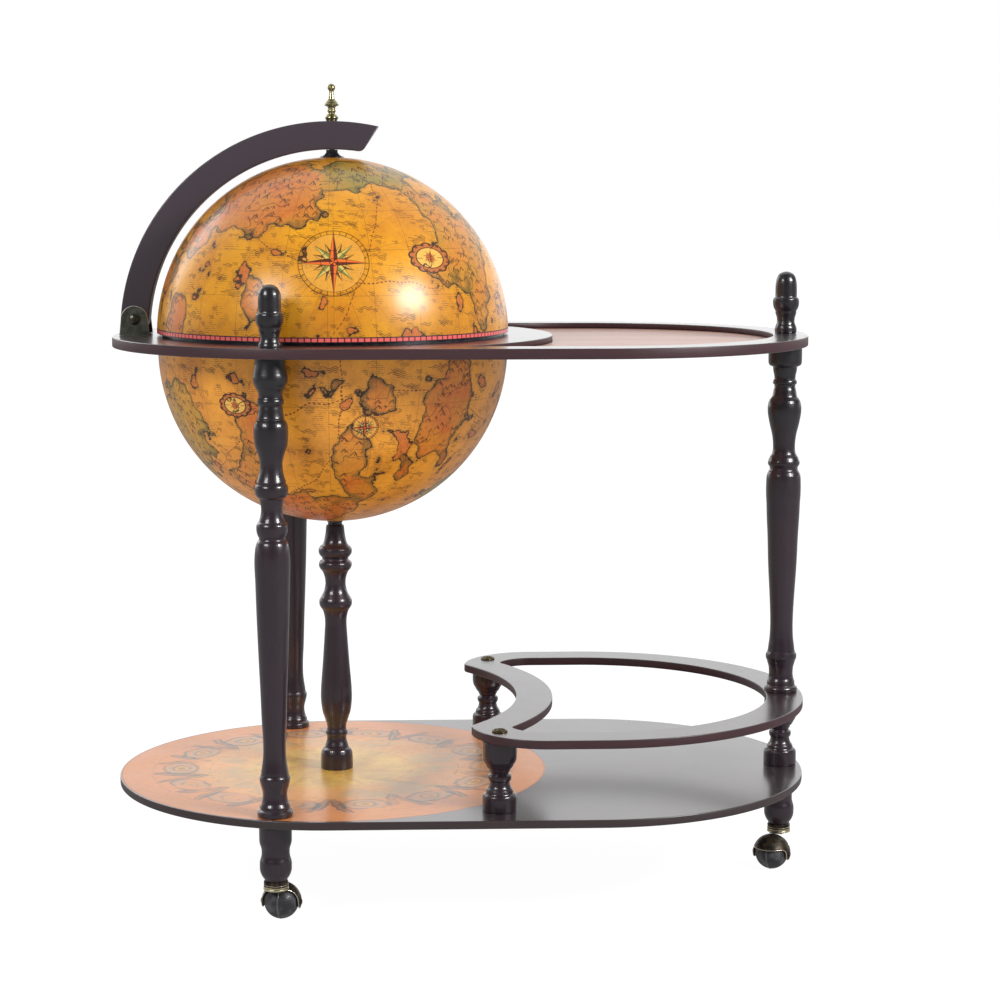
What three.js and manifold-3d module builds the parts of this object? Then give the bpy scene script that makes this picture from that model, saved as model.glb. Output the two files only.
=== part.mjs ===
// Floor globe bar: a round-ended table and a shelf on three turned legs with ball casters.
// A globe in two halves stands through the table, and a hinged meridian arm lifts its upper half.
// Millimetres, +Z up. The origin is on the floor under the middle of the table.

import * as THREE from 'three';
import { mergeVertices } from 'three/addons/utils/BufferGeometryUtils.js';
import Module from 'manifold-3d';

const wasm = await Module();
wasm.setup();

// Fits and facets
const seatGap = 0.3; // left between faces that touch
const runGap = 0.3; // round a pin, stud or screw in its hole
const cutOver = 2; // how far a cutting shape runs past the face that it cuts
const endSteps = 20; // facets on a board's round end
const cornerSteps = 6;
const turnSteps = 12;
const ballSteps = 16;
const smallSteps = 8;
const globeSteps = 36;
const domeSteps = 6; // facets from a globe half's rim to its pole

// Boards
const endSpread = 307.3; // from the globe's axis to the centre of the other round end
const tableTop = 658.7;
const tableThickness = 12;
const shelfThickness = 9.5;

// Drinks tray let into the table from below
const trayGap = 2; // between the right finial and the tray
const trayTongue = 3; // thickness of the panel's tongue under the rim
const trayField = 1.8; // how far the panel's field stands above its tongue
const trayRabbet = 8; // how far the tongue runs under the rim

// Gallery rail over the shelf
const railHeight = 91.4; // its top above the shelf
const railThickness = 10;
const railWidth = 44;
const railCornerRadius = 88;
const railNotchRadius = 300;
const railNotchBack = 87.35; // deepest point of the concave side, back from the far end's centre
const railHornLap = 16.24; // how far a big corner's circle runs over the concave side's
const railHornRadius = 18;
const railSlotRadius = 8;
const hornScrewInset = 19.8; // from the rail's edge
const hornScrewAngle = 145.1 * Math.PI / 180; // round the big corner's centre, from +X

// Legs
const legInset = 24.4; // from the boards' edge to a leg's axis
const legClearance = 9.4; // between a left leg and the bowl
const leftLegAngle = 105.4 * Math.PI / 180; // round the globe's axis, from +X
const leftLegRadius = 20.2;
const rightLegRadius = 20.7;
const footHeight = 64.3;
const footRadius = 17.9;
const legFinialHeight = 72.7;
const legFinialRadius = 15.1;
const spindleRadius = 19.7;
const studRadius = 3.8;
const studReach = 24; // how far a stud goes into each turned piece
const studEndGap = 1.5; // left in the bore past a stud's end

// Globe
const globeRadius = 210;
const globeWall = 4;
const lidCentreRise = 0.7; // above the table's top
const lidRimRise = 7.6;
const lidLipWidth = 6; // inner lip that seats on the bowl's ring
const lidLipHeight = 8;
const bowlInset = 1; // the bowl is this much smaller than the lid in radius
const bowlCentreDrop = 15.7; // below the table's top
const ringInset = 6; // from the lid's outside to the ring's
const ringWall = 5.5;
const ringDrop = 32;

// Bottle rack inside the bowl
const rackTopDrop = 18;
const rackFloorAngle = 34.22 * Math.PI / 180; // below the bowl's centre, where its floor rests
const rackPlate = 4;
const bottleCount = 3;
const bottleHoleRadius = 43;
const bottleWeb = 16.2; // left between two bottle holes
const glassCount = 6;
const glassGap = 16; // the glass holes start this far outside the bottle holes
const glassMargin = 15.3; // from the plate's edge to a glass hole
const spacerCount = 3;
const spacerRadius = 6;
const spacerInset = 56.3; // from the rack floor's edge to a spacer's axis
const rackGap = 1.2; // round the rack's two plates

// Post under the bowl
const postRadius = 19.4;
const collarRadius = 9.2;
const collarHeight = 3;
const bowlBoltRadius = 3;
const bowlBoltReach = 26;
const boltHeadRadius = 8;
const boltHeadHeight = 3;
const postScrewRadius = 3;
const postScrewReach = 30;
const postScrewHeadRadius = 6;
const postScrewHeadHeight = 2.2;

// Meridian arm, its hinge bracket and its pole
const armClearance = 10; // between the globe and the arm
const armWidth = 33;
const armDepth = 36;
const armOuterEnd = 77.3 * Math.PI / 180; // angles from +X about the globe's centre
const armInnerEnd = 80.6 * Math.PI / 180;
const pivotClearance = 0.5; // between the arm's round end and the bracket's base
const pivotRadius = 4;
const pivotCrownRadius = 3.25;
const pivotHeadRadius = 6.5;
const pivotHeadHeight = 3.4;
const pivotNutRadius = 7;
const pivotNutHeight = 5;
const bracketWall = 2;
const bracketBaseHalf = 18;
const bracketEarRadius = 16.2;
const bracketScrewSpread = 11;
const woodScrewRadius = 1.8;
const woodScrewHeadRadius = 3.6;
const woodScrewHeadHeight = 1.6;
const woodScrewLength = 10.5;
const polePinRadius = 3;
const polePinHeadRadius = 12;
const polePinHeadHeight = 3;
const polePinRise = 7; // into the brass finial
const poleCapTopRadius = 7.6;
const poleCapRadius = 10.5;
const armFinialHeight = 44;
const armFinialRadius = 8.7;

// Gallery screws and their cup washers
const cupRadius = 9.2;
const cupHeight = 2.2;
const cupMouthRadius = 7;
const galleryScrewRadius = 2.4;
const galleryScrewHeadRadius = 5.2;
const galleryScrewHeadHeight = 2.6;
const galleryScrewEndRise = 2; // screw end above the shelf's underside

// Ball casters
const ballRadius = 20.3;
const ballGap = 1.1; // between the ball's facets and its hood
const hoodWall = 1.5;
const hoodBrim = 7.5; // height of the hood's edge above the ball's centre
const lugHalf = 7; // half width of the hood's two lugs
const casterTrail = 24.5; // from the swivel axis to the ball's axis
const casterAxleRadius = 2;
const casterAxleOver = 0.6; // axle past the hood on each side
const casterCollarRise = 21.2; // underside of the hood's collar above the ball's centre
const casterCollarHeight = 10.9;
const casterCollarRadius = 14.6;
const casterGap = 0.5; // between the collar and the foot
const collarGroove = 1.2;
const casterStemRadius = 3.9;
const casterStemReach = 26;
const casterStemHeadRadius = 6;
const casterStemHeadHeight = 2;
const leftFrontTrailAngle = 78.9 * Math.PI / 180;
const leftBackTrailAngle = 200 * Math.PI / 180;
const rightTrailAngle = 242 * Math.PI / 180;

// Turned outlines from the bottom up: share of the piece's length, share of its radius
const rightLegShares = [
  [0, 0.96], [0.014, 0.96], [0.024, 0.8], [0.06, 0.68], [0.097, 0.865], [0.12, 0.865],
  [0.135, 0.72], [0.193, 0.638], [0.263, 0.684], [0.37, 0.8], [0.5, 0.92], [0.584, 1],
  [0.62, 0.975], [0.644, 0.79], [0.662, 0.91], [0.68, 0.78], [0.707, 0.618], [0.73, 0.65],
  [0.764, 0.795], [0.81, 0.966], [0.84, 0.87], [0.85, 0.686], [0.89, 0.63], [0.93, 0.66],
  [0.94, 0.93], [1, 0.961],
];
const leftLegShares = [
  [0, 0.96], [0.01, 1], [0.019, 0.85], [0.047, 0.68], [0.084, 0.84], [0.09, 0.78],
  [0.12, 0.68], [0.16, 0.63], [0.24, 0.667], [0.34, 0.755], [0.45, 0.875], [0.567, 0.965],
  [0.592, 0.93], [0.613, 0.74], [0.622, 0.83], [0.636, 0.868], [0.65, 0.8], [0.669, 0.6],
  [0.69, 0.62], [0.707, 0.83], [0.723, 0.87], [0.74, 0.78], [0.765, 0.65], [0.8, 0.75],
  [0.841, 0.933], [0.862, 0.84], [0.877, 0.59], [0.91, 0.61], [0.942, 0.66], [0.954, 0.9],
  [1, 0.925],
];
const postShares = [
  [0, 1], [0.045, 1], [0.065, 0.92], [0.085, 0.68], [0.12, 0.6], [0.148, 0.67], [0.158, 0.58],
  [0.19, 0.66], [0.25, 0.89], [0.29, 0.935], [0.33, 0.915], [0.46, 0.775], [0.6, 0.645],
  [0.655, 0.88], [0.68, 0.97], [0.71, 0.79], [0.755, 0.59], [0.784, 0.66], [0.825, 0.98],
  [0.853, 0.77], [0.875, 0.98], [0.905, 0.85], [0.939, 0.6], [1, 0.46],
];
const spindleShares = [
  [0, 0.995], [0.17, 1], [0.225, 0.95], [0.255, 0.68], [0.36, 0.55], [0.45, 0.63],
  [0.505, 0.64], [0.535, 0.53], [0.6, 0.63], [0.66, 0.8], [0.72, 0.94], [0.8, 1], [1, 1],
];
const footShares = [
  [0, 0.66], [0.03, 0.69], [0.1, 0.87], [0.24, 0.99], [0.355, 0.985], [0.43, 0.87],
  [0.56, 0.86], [0.7, 0.99], [1, 1],
];
const legFinialShares = [
  [0, 0.84], [0.055, 0.84], [0.155, 0.62], [0.2, 0.63], [0.31, 0.795], [0.36, 0.79],
  [0.45, 0.99], [0.52, 1], [0.565, 0.83], [0.79, 0.815], [0.87, 0.77], [0.95, 0.57], [1, 0.16],
];
const armFinialShares = [
  [0, 0.74], [0.11, 0.91], [0.21, 0.46], [0.27, 0.585], [0.36, 0.5], [0.43, 1], [0.56, 0.58],
  [0.64, 0.38], [0.79, 0.32], [0.885, 0.535], [0.96, 0.4], [1, 0],
];

// A hole whose facets clear a pin of this radius however either is turned
function bore(radius) {
  return (radius + runGap) / Math.cos(Math.PI / smallSteps);
}

// Places worked out from the sizes
const globeX = -endSpread / 2;
const farX = endSpread / 2;
const bowlRadius = globeRadius - bowlInset;
const legCircle = bowlRadius + legClearance + leftLegRadius;
const endRadius = legCircle + legInset; // round ends of the table and the shelf
const tableBase = tableTop - tableThickness;
const collarBaseHeight = ballRadius + casterCollarRise;
const collarTopHeight = collarBaseHeight + casterCollarHeight;
const footBase = collarTopHeight + casterGap;
const shelfBase = footBase + footHeight + seatGap;
const shelfTop = shelfBase + shelfThickness;
const trayMargin = legInset + legFinialRadius + trayGap; // width of the table's rim round the tray
const railTop = shelfTop + railHeight;
const railBase = railTop - railThickness;
const railNotchX = farX - railNotchBack - railNotchRadius;
const railCornerY = endRadius - railCornerRadius;
const railCornerReach = railNotchRadius + railCornerRadius - railHornLap;
const railCornerX = railNotchX + Math.sqrt(railCornerReach ** 2 - railCornerY ** 2);
const hornScrewReach = railCornerRadius - hornScrewInset;
const hornScrewX = railCornerX + hornScrewReach * Math.cos(hornScrewAngle);
const hornScrewY = railCornerY + hornScrewReach * Math.sin(hornScrewAngle);
const lidCentre = tableTop + lidCentreRise;
const lidRim = tableTop + lidRimRise;
const bowlCentre = tableTop - bowlCentreDrop;
const bowlInner = bowlRadius - globeWall;
const bowlPole = bowlCentre - bowlRadius;
const lidInner = globeRadius - globeWall;
const lidPole = lidCentre + globeRadius;
const ringRadius = globeRadius - ringInset;
const holeRadius = bore(studRadius);
const armInnerRadius = globeRadius + armClearance;
const armOuterRadius = armInnerRadius + armWidth;
const armMid = (armInnerRadius + armOuterRadius) / 2;
const armEndRadius = armWidth / 2;
const pivotRise = seatGap + bracketWall + pivotClearance + armEndRadius; // above the table's top
const pivotX = globeX - Math.sqrt(armMid ** 2 - pivotRise ** 2);
const pivotZ = tableTop + pivotRise;
const armHalf = armDepth / 2;
const earInner = armHalf + runGap;
const earOuter = earInner + bracketWall;
const bracketBase = tableTop + seatGap;

const leftLegX = globeX + legCircle * Math.cos(leftLegAngle);
const leftLegY = legCircle * Math.sin(leftLegAngle);
const stations = [
  { name: 'left_front', x: leftLegX, y: -leftLegY, trail: leftFrontTrailAngle },
  { name: 'left_back', x: leftLegX, y: leftLegY, trail: leftBackTrailAngle },
  { name: 'right', x: farX + legCircle, y: 0, trail: rightTrailAngle },
];
const hornScrews = [
  { name: 'front', x: hornScrewX, y: -hornScrewY },
  { name: 'back', x: hornScrewX, y: hornScrewY },
];
const bracketScrews = [
  { name: 'left', x: pivotX - bracketScrewSpread },
  { name: 'right', x: pivotX + bracketScrewSpread },
];

// Finishes
const finishes = {
  lacquer: { color: 0x2c1d1c, roughness: 0.35, metalness: 0 },
  board: { color: 0x3a2a2b, roughness: 0.4, metalness: 0 },
  panel: { color: 0x9a6a58, roughness: 0.5, metalness: 0 },
  paper: { color: 0xd98a2b, roughness: 0.3, metalness: 0 },
  black: { color: 0x15151b, roughness: 0.4, metalness: 0 },
  brass: { color: 0x8a7a45, roughness: 0.35, metalness: 1 },
  bronze: { color: 0x4a4a3c, roughness: 0.4, metalness: 1 },
  steel: { color: 0x9a9a98, roughness: 0.35, metalness: 1 },
  ball: { color: 0x1a1b1e, roughness: 0.35, metalness: 0 },
};

const bar = new THREE.Group();

function piece(name, geometry, finish, x = 0, y = 0, z = 0) {
  const mesh = new THREE.Mesh(geometry, new THREE.MeshStandardMaterial(finishes[finish]));
  mesh.name = name;
  mesh.position.set(x, y, z);
  bar.add(mesh);
  return mesh;
}

// Points and outlines
function arc(x, y, radius, from, to, steps) {
  const points = [];
  for (let i = 0; i <= steps; i += 1) {
    const angle = from + ((to - from) * i) / steps;
    points.push(new THREE.Vector2(x + radius * Math.cos(angle), y + radius * Math.sin(angle)));
  }
  return points;
}

function hole(x, y, radius, steps = turnSteps) {
  return new THREE.Path(arc(x, y, radius, 0, 2 * Math.PI, steps).slice(0, -1));
}

function plate(points, holes, thickness, base) {
  const shape = new THREE.Shape(points);
  shape.holes.push(...holes);
  const geometry = new THREE.ExtrudeGeometry(shape, { depth: thickness, bevelEnabled: false });
  geometry.translate(0, 0, base);
  return geometry;
}

function stadium(radius) {
  const quarter = Math.PI / 2;
  return [
    ...arc(farX, 0, radius, -quarter, quarter, endSteps),
    ...arc(globeX, 0, radius, quarter, 3 * quarter, endSteps),
  ];
}

// A lathe whose axis is +Z, from a profile that runs upwards on its outside
function lathe(profile, steps = turnSteps) {
  const geometry = new THREE.LatheGeometry(profile, steps);
  geometry.rotateX(Math.PI / 2);
  return geometry;
}

function rod(radius, from, to, steps = smallSteps) {
  return lathe([
    new THREE.Vector2(0, from),
    new THREE.Vector2(radius, from),
    new THREE.Vector2(radius, to),
    new THREE.Vector2(0, to),
  ], steps);
}

// A turned piece that stands on z = 0, with a bore in each end, or right through
function turned(shares, length, radius, bottom, top) {
  const outside = shares.map(([up, out]) => new THREE.Vector2(radius * out, length * up));
  if (bottom.through) {
    const wall = [new THREE.Vector2(bottom.through, 0), new THREE.Vector2(bottom.through, length)];
    return lathe([wall[0], ...outside, wall[1], wall[0].clone()]);
  }
  const under = bottom.depth
    ? [
      new THREE.Vector2(0, bottom.depth),
      new THREE.Vector2(bottom.radius, bottom.depth),
      new THREE.Vector2(bottom.radius, 0),
    ]
    : [new THREE.Vector2(0, 0)];
  const over = top.depth
    ? [
      new THREE.Vector2(top.radius, length),
      new THREE.Vector2(top.radius, length - top.depth),
      new THREE.Vector2(0, length - top.depth),
    ]
    : [new THREE.Vector2(0, length)];
  const last = outside[outside.length - 1];
  const domed = !top.depth && last.x === 0;
  return lathe([...under, ...outside, ...(domed ? [] : over)]);
}

// Boolean cuts and joins
function solid(geometry) {
  const bare = geometry.index ? geometry.toNonIndexed() : geometry.clone();
  bare.deleteAttribute('normal');
  bare.deleteAttribute('uv');
  const merged = mergeVertices(bare);
  const corners = merged.index.array;
  const kept = [];
  for (let i = 0; i < corners.length; i += 3) {
    const [a, b, c] = corners.slice(i, i + 3);
    if (a !== b && b !== c && c !== a) kept.push(a, b, c);
  }
  return new wasm.Manifold(new wasm.Mesh({
    numProp: 3,
    vertProperties: new Float32Array(merged.attributes.position.array),
    triVerts: new Uint32Array(kept),
  }));
}

function surface(body) {
  const mesh = body.getMesh();
  const geometry = new THREE.BufferGeometry();
  geometry.setAttribute('position', new THREE.BufferAttribute(mesh.vertProperties, 3));
  geometry.setIndex(new THREE.BufferAttribute(mesh.triVerts, 1));
  return geometry;
}

function cut(geometry, ...tools) {
  return surface(tools.reduce((body, tool) => body.subtract(solid(tool)), solid(geometry)));
}

// Screw with a countersunk head whose top is at z = 0; grown by a gap it is its own cutter
function countersunk(shankRadius, headRadius, headHeight, length, gap = 0) {
  const over = gap > 0 ? cutOver : 0;
  return lathe([
    new THREE.Vector2(0, -length - gap),
    new THREE.Vector2(shankRadius + gap, -length - gap),
    new THREE.Vector2(shankRadius + gap, -headHeight - gap),
    new THREE.Vector2(headRadius + gap, -gap),
    new THREE.Vector2(headRadius + gap, over),
    new THREE.Vector2(0, over),
  ].filter((point, i, all) => i === 0 || !point.equals(all[i - 1])), smallSteps);
}

// Table: a ring round the globe and a recessed tray in one board
function trayOutline(margin, lobeRadius) {
  const half = endRadius - margin;
  const meet = Math.asin(half / lobeRadius);
  return [
    ...arc(farX, 0, half, -Math.PI / 2, Math.PI / 2, endSteps),
    ...arc(globeX, 0, lobeRadius, meet, -meet, endSteps),
  ];
}

const rabbetMargin = trayMargin - trayRabbet;
const rabbetLobe = endRadius - trayRabbet;
const tableHoles = [
  new THREE.Path(trayOutline(trayMargin, endRadius)),
  hole(globeX, 0, ringRadius + runGap, globeSteps),
  ...stations.map(({ x, y }) => hole(x, y, holeRadius, smallSteps)),
  ...bracketScrews.map(({ x }) => hole(x, 0, bore(woodScrewRadius), smallSteps)),
];
const rabbet = plate(
  trayOutline(rabbetMargin, rabbetLobe), [], trayTongue + seatGap + cutOver, tableBase - cutOver,
);
const tableBlank = plate(stadium(endRadius), tableHoles, tableThickness, tableBase);
piece('table_board', cut(tableBlank, rabbet), 'board');
const tongue = plate(trayOutline(rabbetMargin + seatGap, rabbetLobe + seatGap), [], trayTongue, tableBase);
const field = plate(
  trayOutline(trayMargin + seatGap, endRadius + seatGap), [], trayTongue + trayField, tableBase,
);
piece('tray_panel', surface(solid(tongue).add(solid(field))), 'panel');

// Shelf
const shelfHoles = [
  ...stations.map(({ x, y }) => hole(x, y, holeRadius, smallSteps)),
  ...hornScrews.map(({ x, y }) => hole(x, y, bore(galleryScrewRadius), smallSteps)),
  hole(globeX, 0, bore(postScrewRadius), smallSteps),
];
piece('shelf_board', plate(stadium(endRadius), shelfHoles, shelfThickness, shelfBase), 'board');

// Gallery rail: an open loop with two rounded horns on its concave side
function meeting(a, aRadius, b, bRadius) {
  const away = b.clone().sub(a);
  const distance = away.length();
  const along = (aRadius ** 2 - bRadius ** 2 + distance ** 2) / (2 * distance);
  const aside = Math.sqrt(aRadius ** 2 - along ** 2);
  const unit = away.divideScalar(distance);
  const square = new THREE.Vector2(-unit.y, unit.x);
  return a.clone().addScaledVector(unit, along).addScaledVector(square, aside);
}

function railOutline(inset, hornRadius) {
  const half = endRadius - inset;
  const cornerRadius = railCornerRadius - inset;
  const notchRadius = railNotchRadius + inset;
  const notch = new THREE.Vector2(railNotchX, 0);
  const corner = new THREE.Vector2(railCornerX, railCornerY);
  const horn = meeting(notch, notchRadius + hornRadius, corner, cornerRadius - hornRadius);
  const outward = horn.clone().sub(corner).angle();
  const inward = notch.clone().sub(horn).angle();
  const sweep = inward - Math.PI;
  const upper = [
    ...arc(corner.x, corner.y, cornerRadius, Math.PI / 2, outward, cornerSteps),
    ...arc(horn.x, horn.y, hornRadius, outward, inward, cornerSteps).slice(1),
    ...arc(notch.x, notch.y, notchRadius, sweep, 0, cornerSteps).slice(1),
  ];
  const lower = upper.map(({ x, y }) => new THREE.Vector2(x, -y)).reverse().slice(1);
  return [...arc(farX, 0, half, -Math.PI / 2, Math.PI / 2, endSteps), ...upper, ...lower];
}

const rightStation = stations[2];
const railHoles = [
  new THREE.Path(railOutline(railWidth, railSlotRadius)),
  hole(rightStation.x, rightStation.y, holeRadius, smallSteps),
  ...hornScrews.map(({ x, y }) => hole(x, y, bore(galleryScrewRadius), smallSteps)),
];
piece('gallery_rail', plate(railOutline(0, railHornRadius), railHoles, railThickness, railBase), 'board');

// Gallery spindles, their screws and cup washers
const spindleLength = railBase - shelfTop - 2 * seatGap;
const screwTop = railTop + seatGap + cupHeight;
for (const { name, x, y } of hornScrews) {
  const shankWall = bore(galleryScrewRadius);
  piece(`gallery_spindle_${name}`, turned(
    spindleShares, spindleLength, spindleRadius, { through: shankWall }, {},
  ), 'lacquer', x, y, shelfTop + seatGap);
  piece(`gallery_screw_${name}`, countersunk(
    galleryScrewRadius, galleryScrewHeadRadius, galleryScrewHeadHeight,
    screwTop - shelfBase - galleryScrewEndRise,
  ), 'brass', x, y, screwTop);
  piece(`cup_washer_${name}`, cut(lathe([
    new THREE.Vector2(shankWall, 0),
    new THREE.Vector2(cupRadius, 0),
    new THREE.Vector2(cupMouthRadius, cupHeight),
    new THREE.Vector2(shankWall, cupHeight),
    new THREE.Vector2(shankWall, 0),
  ]), countersunk(
    galleryScrewRadius, galleryScrewHeadRadius, galleryScrewHeadHeight, cupHeight + cutOver, runGap,
  ).translate(0, 0, cupHeight)), 'brass', x, y, railTop + seatGap);
}

// Legs, feet and finials, joined through the boards by studs
const studBore = { radius: holeRadius, depth: studReach + studEndGap };
const stemBore = { radius: bore(casterStemRadius), depth: casterStemReach + studEndGap };

for (const { name, x, y } of stations) {
  const right = name === 'right';
  const legBase = (right ? railTop : shelfTop) + seatGap;
  const legLength = tableBase - seatGap - legBase;
  const shares = right ? rightLegShares : leftLegShares;
  const radius = right ? rightLegRadius : leftLegRadius;
  piece(`leg_${name}`, turned(shares, legLength, radius, studBore, studBore), 'lacquer', x, y, legBase);
  piece(`leg_finial_${name}`, turned(
    legFinialShares, legFinialHeight, legFinialRadius, studBore, {},
  ), 'lacquer', x, y, tableTop + seatGap);
  piece(`foot_${name}`, turned(
    footShares, footHeight, footRadius, stemBore, studBore,
  ), 'lacquer', x, y, footBase);
  piece(`top_stud_${name}`, rod(
    studRadius, tableBase - seatGap - studReach, tableTop + seatGap + studReach,
  ), 'steel', x, y);
  piece(`bottom_stud_${name}`, rod(
    studRadius, shelfBase - seatGap - studReach, legBase + studReach,
  ), 'steel', x, y);
}
piece('gallery_spindle_right', turned(
  spindleShares, spindleLength, spindleRadius, { through: holeRadius }, {},
), 'lacquer', rightStation.x, rightStation.y, shelfTop + seatGap);

// How far a sphere reaches beside a point that lies this far along one of its diameters
function sphereReach(radius, along) {
  return Math.sqrt(radius ** 2 - along ** 2);
}

// Bowl: the globe's lower half, hung from a ring in the table
function domeArc(centre, radius, fromAngle, toAngle) {
  return arc(0, centre, radius, fromAngle, toAngle, domeSteps);
}

const bowlEdge = tableBase - seatGap;
const bowlHole = bore(bowlBoltRadius);
const bowlOutside = domeArc(
  bowlCentre, bowlRadius,
  -Math.acos(bowlHole / bowlRadius), Math.asin((bowlEdge - bowlCentre) / bowlRadius),
);
const boltFlat = boltHeadRadius + runGap; // level seat for the bolt's head
const boltFlatZ = bowlCentre - sphereReach(bowlInner, boltFlat);
const neckBase = tableTop - ringDrop - seatGap;
const neckRadius = ringRadius + runGap;
const bowlInside = [
  new THREE.Vector2(neckRadius, bowlEdge),
  new THREE.Vector2(neckRadius, neckBase),
  ...domeArc(
    bowlCentre, bowlInner,
    Math.asin((neckBase - bowlCentre) / bowlInner), -Math.acos(boltFlat / bowlInner),
  ),
  new THREE.Vector2(bowlHole, boltFlatZ),
];
const bowlProfile = [...bowlOutside, ...bowlInside, bowlOutside[0].clone()];
piece('globe_bowl', lathe(bowlProfile, globeSteps), 'paper', globeX);

const ringTop = lidRim - seatGap;
const ringBase = tableTop - ringDrop;
piece('bowl_ring', lathe([
  new THREE.Vector2(ringRadius - ringWall, ringBase),
  new THREE.Vector2(ringRadius, ringBase),
  new THREE.Vector2(ringRadius, ringTop),
  new THREE.Vector2(ringRadius - ringWall, ringTop),
  new THREE.Vector2(ringRadius - ringWall, ringBase),
], globeSteps), 'black', globeX);

// Bottle rack: a pierced plate over a floor that rests in the bowl
function around(count, radius, start) {
  return Array.from({ length: count }, (_, i) => {
    const angle = start + (2 * Math.PI * i) / count;
    return { x: globeX + radius * Math.cos(angle), y: radius * Math.sin(angle) };
  });
}

const rackTop = tableTop - rackTopDrop;
const rackFloor = bowlCentre - bowlInner * Math.sin(rackFloorAngle) + rackPlate;
const rackTopRadius = ringRadius - ringWall - rackGap;
const rackFloorRadius = bowlInner * Math.cos(rackFloorAngle) - rackGap;
const bottleCircle = (bottleHoleRadius + bottleWeb / 2) / Math.sin(Math.PI / bottleCount);
const glassHoleRadius = (rackTopRadius - glassMargin - bottleCircle - bottleHoleRadius - glassGap) / 2;
const glassCircle = rackTopRadius - glassMargin - glassHoleRadius;
function rackHole(radius) {
  return ({ x, y }) => rod(
    radius, rackTop - rackPlate - cutOver, rackTop + cutOver, turnSteps,
  ).translate(x, y, 0);
}
piece('rack_top', cut(
  rod(rackTopRadius, rackTop - rackPlate, rackTop, globeSteps).translate(globeX, 0, 0),
  ...around(bottleCount, bottleCircle, Math.PI / 2).map(rackHole(bottleHoleRadius)),
  ...around(glassCount, glassCircle, 0).map(rackHole(glassHoleRadius)),
), 'board');
piece('rack_floor', rod(rackFloorRadius, rackFloor - rackPlate, rackFloor, globeSteps), 'board', globeX);
around(spacerCount, rackFloorRadius - spacerInset, Math.PI / 6).forEach(({ x, y }, i) => {
  piece(`rack_spacer_${i + 1}`, rod(
    spacerRadius, rackFloor + seatGap, rackTop - rackPlate - seatGap,
  ), 'lacquer', x, y);
});

// Post, collar and bolts under the bowl
const postBase = shelfTop + seatGap;
const postTop = bowlPole - collarHeight - 2 * seatGap;
piece('centre_post', turned(
  postShares, postTop - postBase, postRadius,
  { radius: bore(postScrewRadius), depth: postScrewReach + studEndGap },
  { radius: bore(bowlBoltRadius), depth: bowlBoltReach },
), 'lacquer', globeX, 0, postBase);
piece('post_screw', lathe([
  new THREE.Vector2(0, shelfBase - seatGap - postScrewHeadHeight),
  new THREE.Vector2(postScrewHeadRadius, shelfBase - seatGap - postScrewHeadHeight),
  new THREE.Vector2(postScrewHeadRadius, shelfBase - seatGap),
  new THREE.Vector2(postScrewRadius, shelfBase - seatGap),
  new THREE.Vector2(postScrewRadius, postBase + postScrewReach),
  new THREE.Vector2(0, postBase + postScrewReach),
], smallSteps), 'steel', globeX);
piece('bowl_collar', lathe([
  new THREE.Vector2(bowlHole, 0),
  new THREE.Vector2(collarRadius, 0),
  new THREE.Vector2(collarRadius, collarHeight),
  new THREE.Vector2(bowlHole, collarHeight),
  new THREE.Vector2(bowlHole, 0),
]), 'black', globeX, 0, postTop + seatGap);

const boltSeat = boltFlatZ + seatGap;
piece('bowl_bolt', lathe([
  new THREE.Vector2(0, postTop - bowlBoltReach + studEndGap),
  new THREE.Vector2(bowlBoltRadius, postTop - bowlBoltReach + studEndGap),
  new THREE.Vector2(bowlBoltRadius, boltSeat),
  new THREE.Vector2(boltHeadRadius, boltSeat),
  new THREE.Vector2(boltHeadRadius, boltSeat + boltHeadHeight),
  new THREE.Vector2(0, boltSeat + boltHeadHeight),
], smallSteps), 'steel', globeX);

// Hinge bracket: two ears on a base plate
function alongY(geometry, from) {
  geometry.rotateX(Math.PI / 2);
  geometry.translate(0, -from, 0);
  return geometry;
}

const earOutline = [
  new THREE.Vector2(pivotX + bracketBaseHalf, bracketBase),
  ...arc(pivotX, pivotZ, bracketEarRadius, 0, Math.PI, endSteps / 2),
  new THREE.Vector2(pivotX - bracketBaseHalf, bracketBase),
];
const bracketBlock = alongY(plate(
  earOutline, [hole(pivotX, pivotZ, bore(pivotRadius), smallSteps)], 2 * earOuter, 0,
), -earOuter);
const bracketRoom = new THREE.BoxGeometry(
  2 * (bracketBaseHalf + cutOver), 2 * earInner, pivotRise + bracketEarRadius + cutOver - bracketWall,
);
bracketRoom.translate(
  pivotX, 0, bracketBase + bracketWall + (pivotRise + bracketEarRadius + cutOver - bracketWall) / 2,
);
const screwSeats = bracketScrews.map(({ x }) => countersunk(
  woodScrewRadius, woodScrewHeadRadius, woodScrewHeadHeight, woodScrewLength, runGap,
).translate(x, 0, bracketBase + bracketWall));
piece('hinge_bracket', cut(bracketBlock, bracketRoom, ...screwSeats), 'bronze');
for (const { name, x } of bracketScrews) {
  piece(`bracket_screw_${name}`, countersunk(
    woodScrewRadius, woodScrewHeadRadius, woodScrewHeadHeight, woodScrewLength,
  ), 'steel', x, 0, bracketBase + bracketWall);
}

const boltHeadSeat = earOuter + seatGap;
const pivotBolt = lathe([
  new THREE.Vector2(0, -boltHeadSeat - pivotHeadHeight),
  new THREE.Vector2(pivotCrownRadius, -boltHeadSeat - pivotHeadHeight),
  new THREE.Vector2(pivotHeadRadius, -boltHeadSeat),
  new THREE.Vector2(pivotRadius, -boltHeadSeat),
  new THREE.Vector2(pivotRadius, boltHeadSeat + pivotNutHeight),
  new THREE.Vector2(0, boltHeadSeat + pivotNutHeight),
], turnSteps);
pivotBolt.rotateX(-Math.PI / 2);
piece('pivot_bolt', pivotBolt, 'bronze', pivotX, 0, pivotZ);

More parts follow.
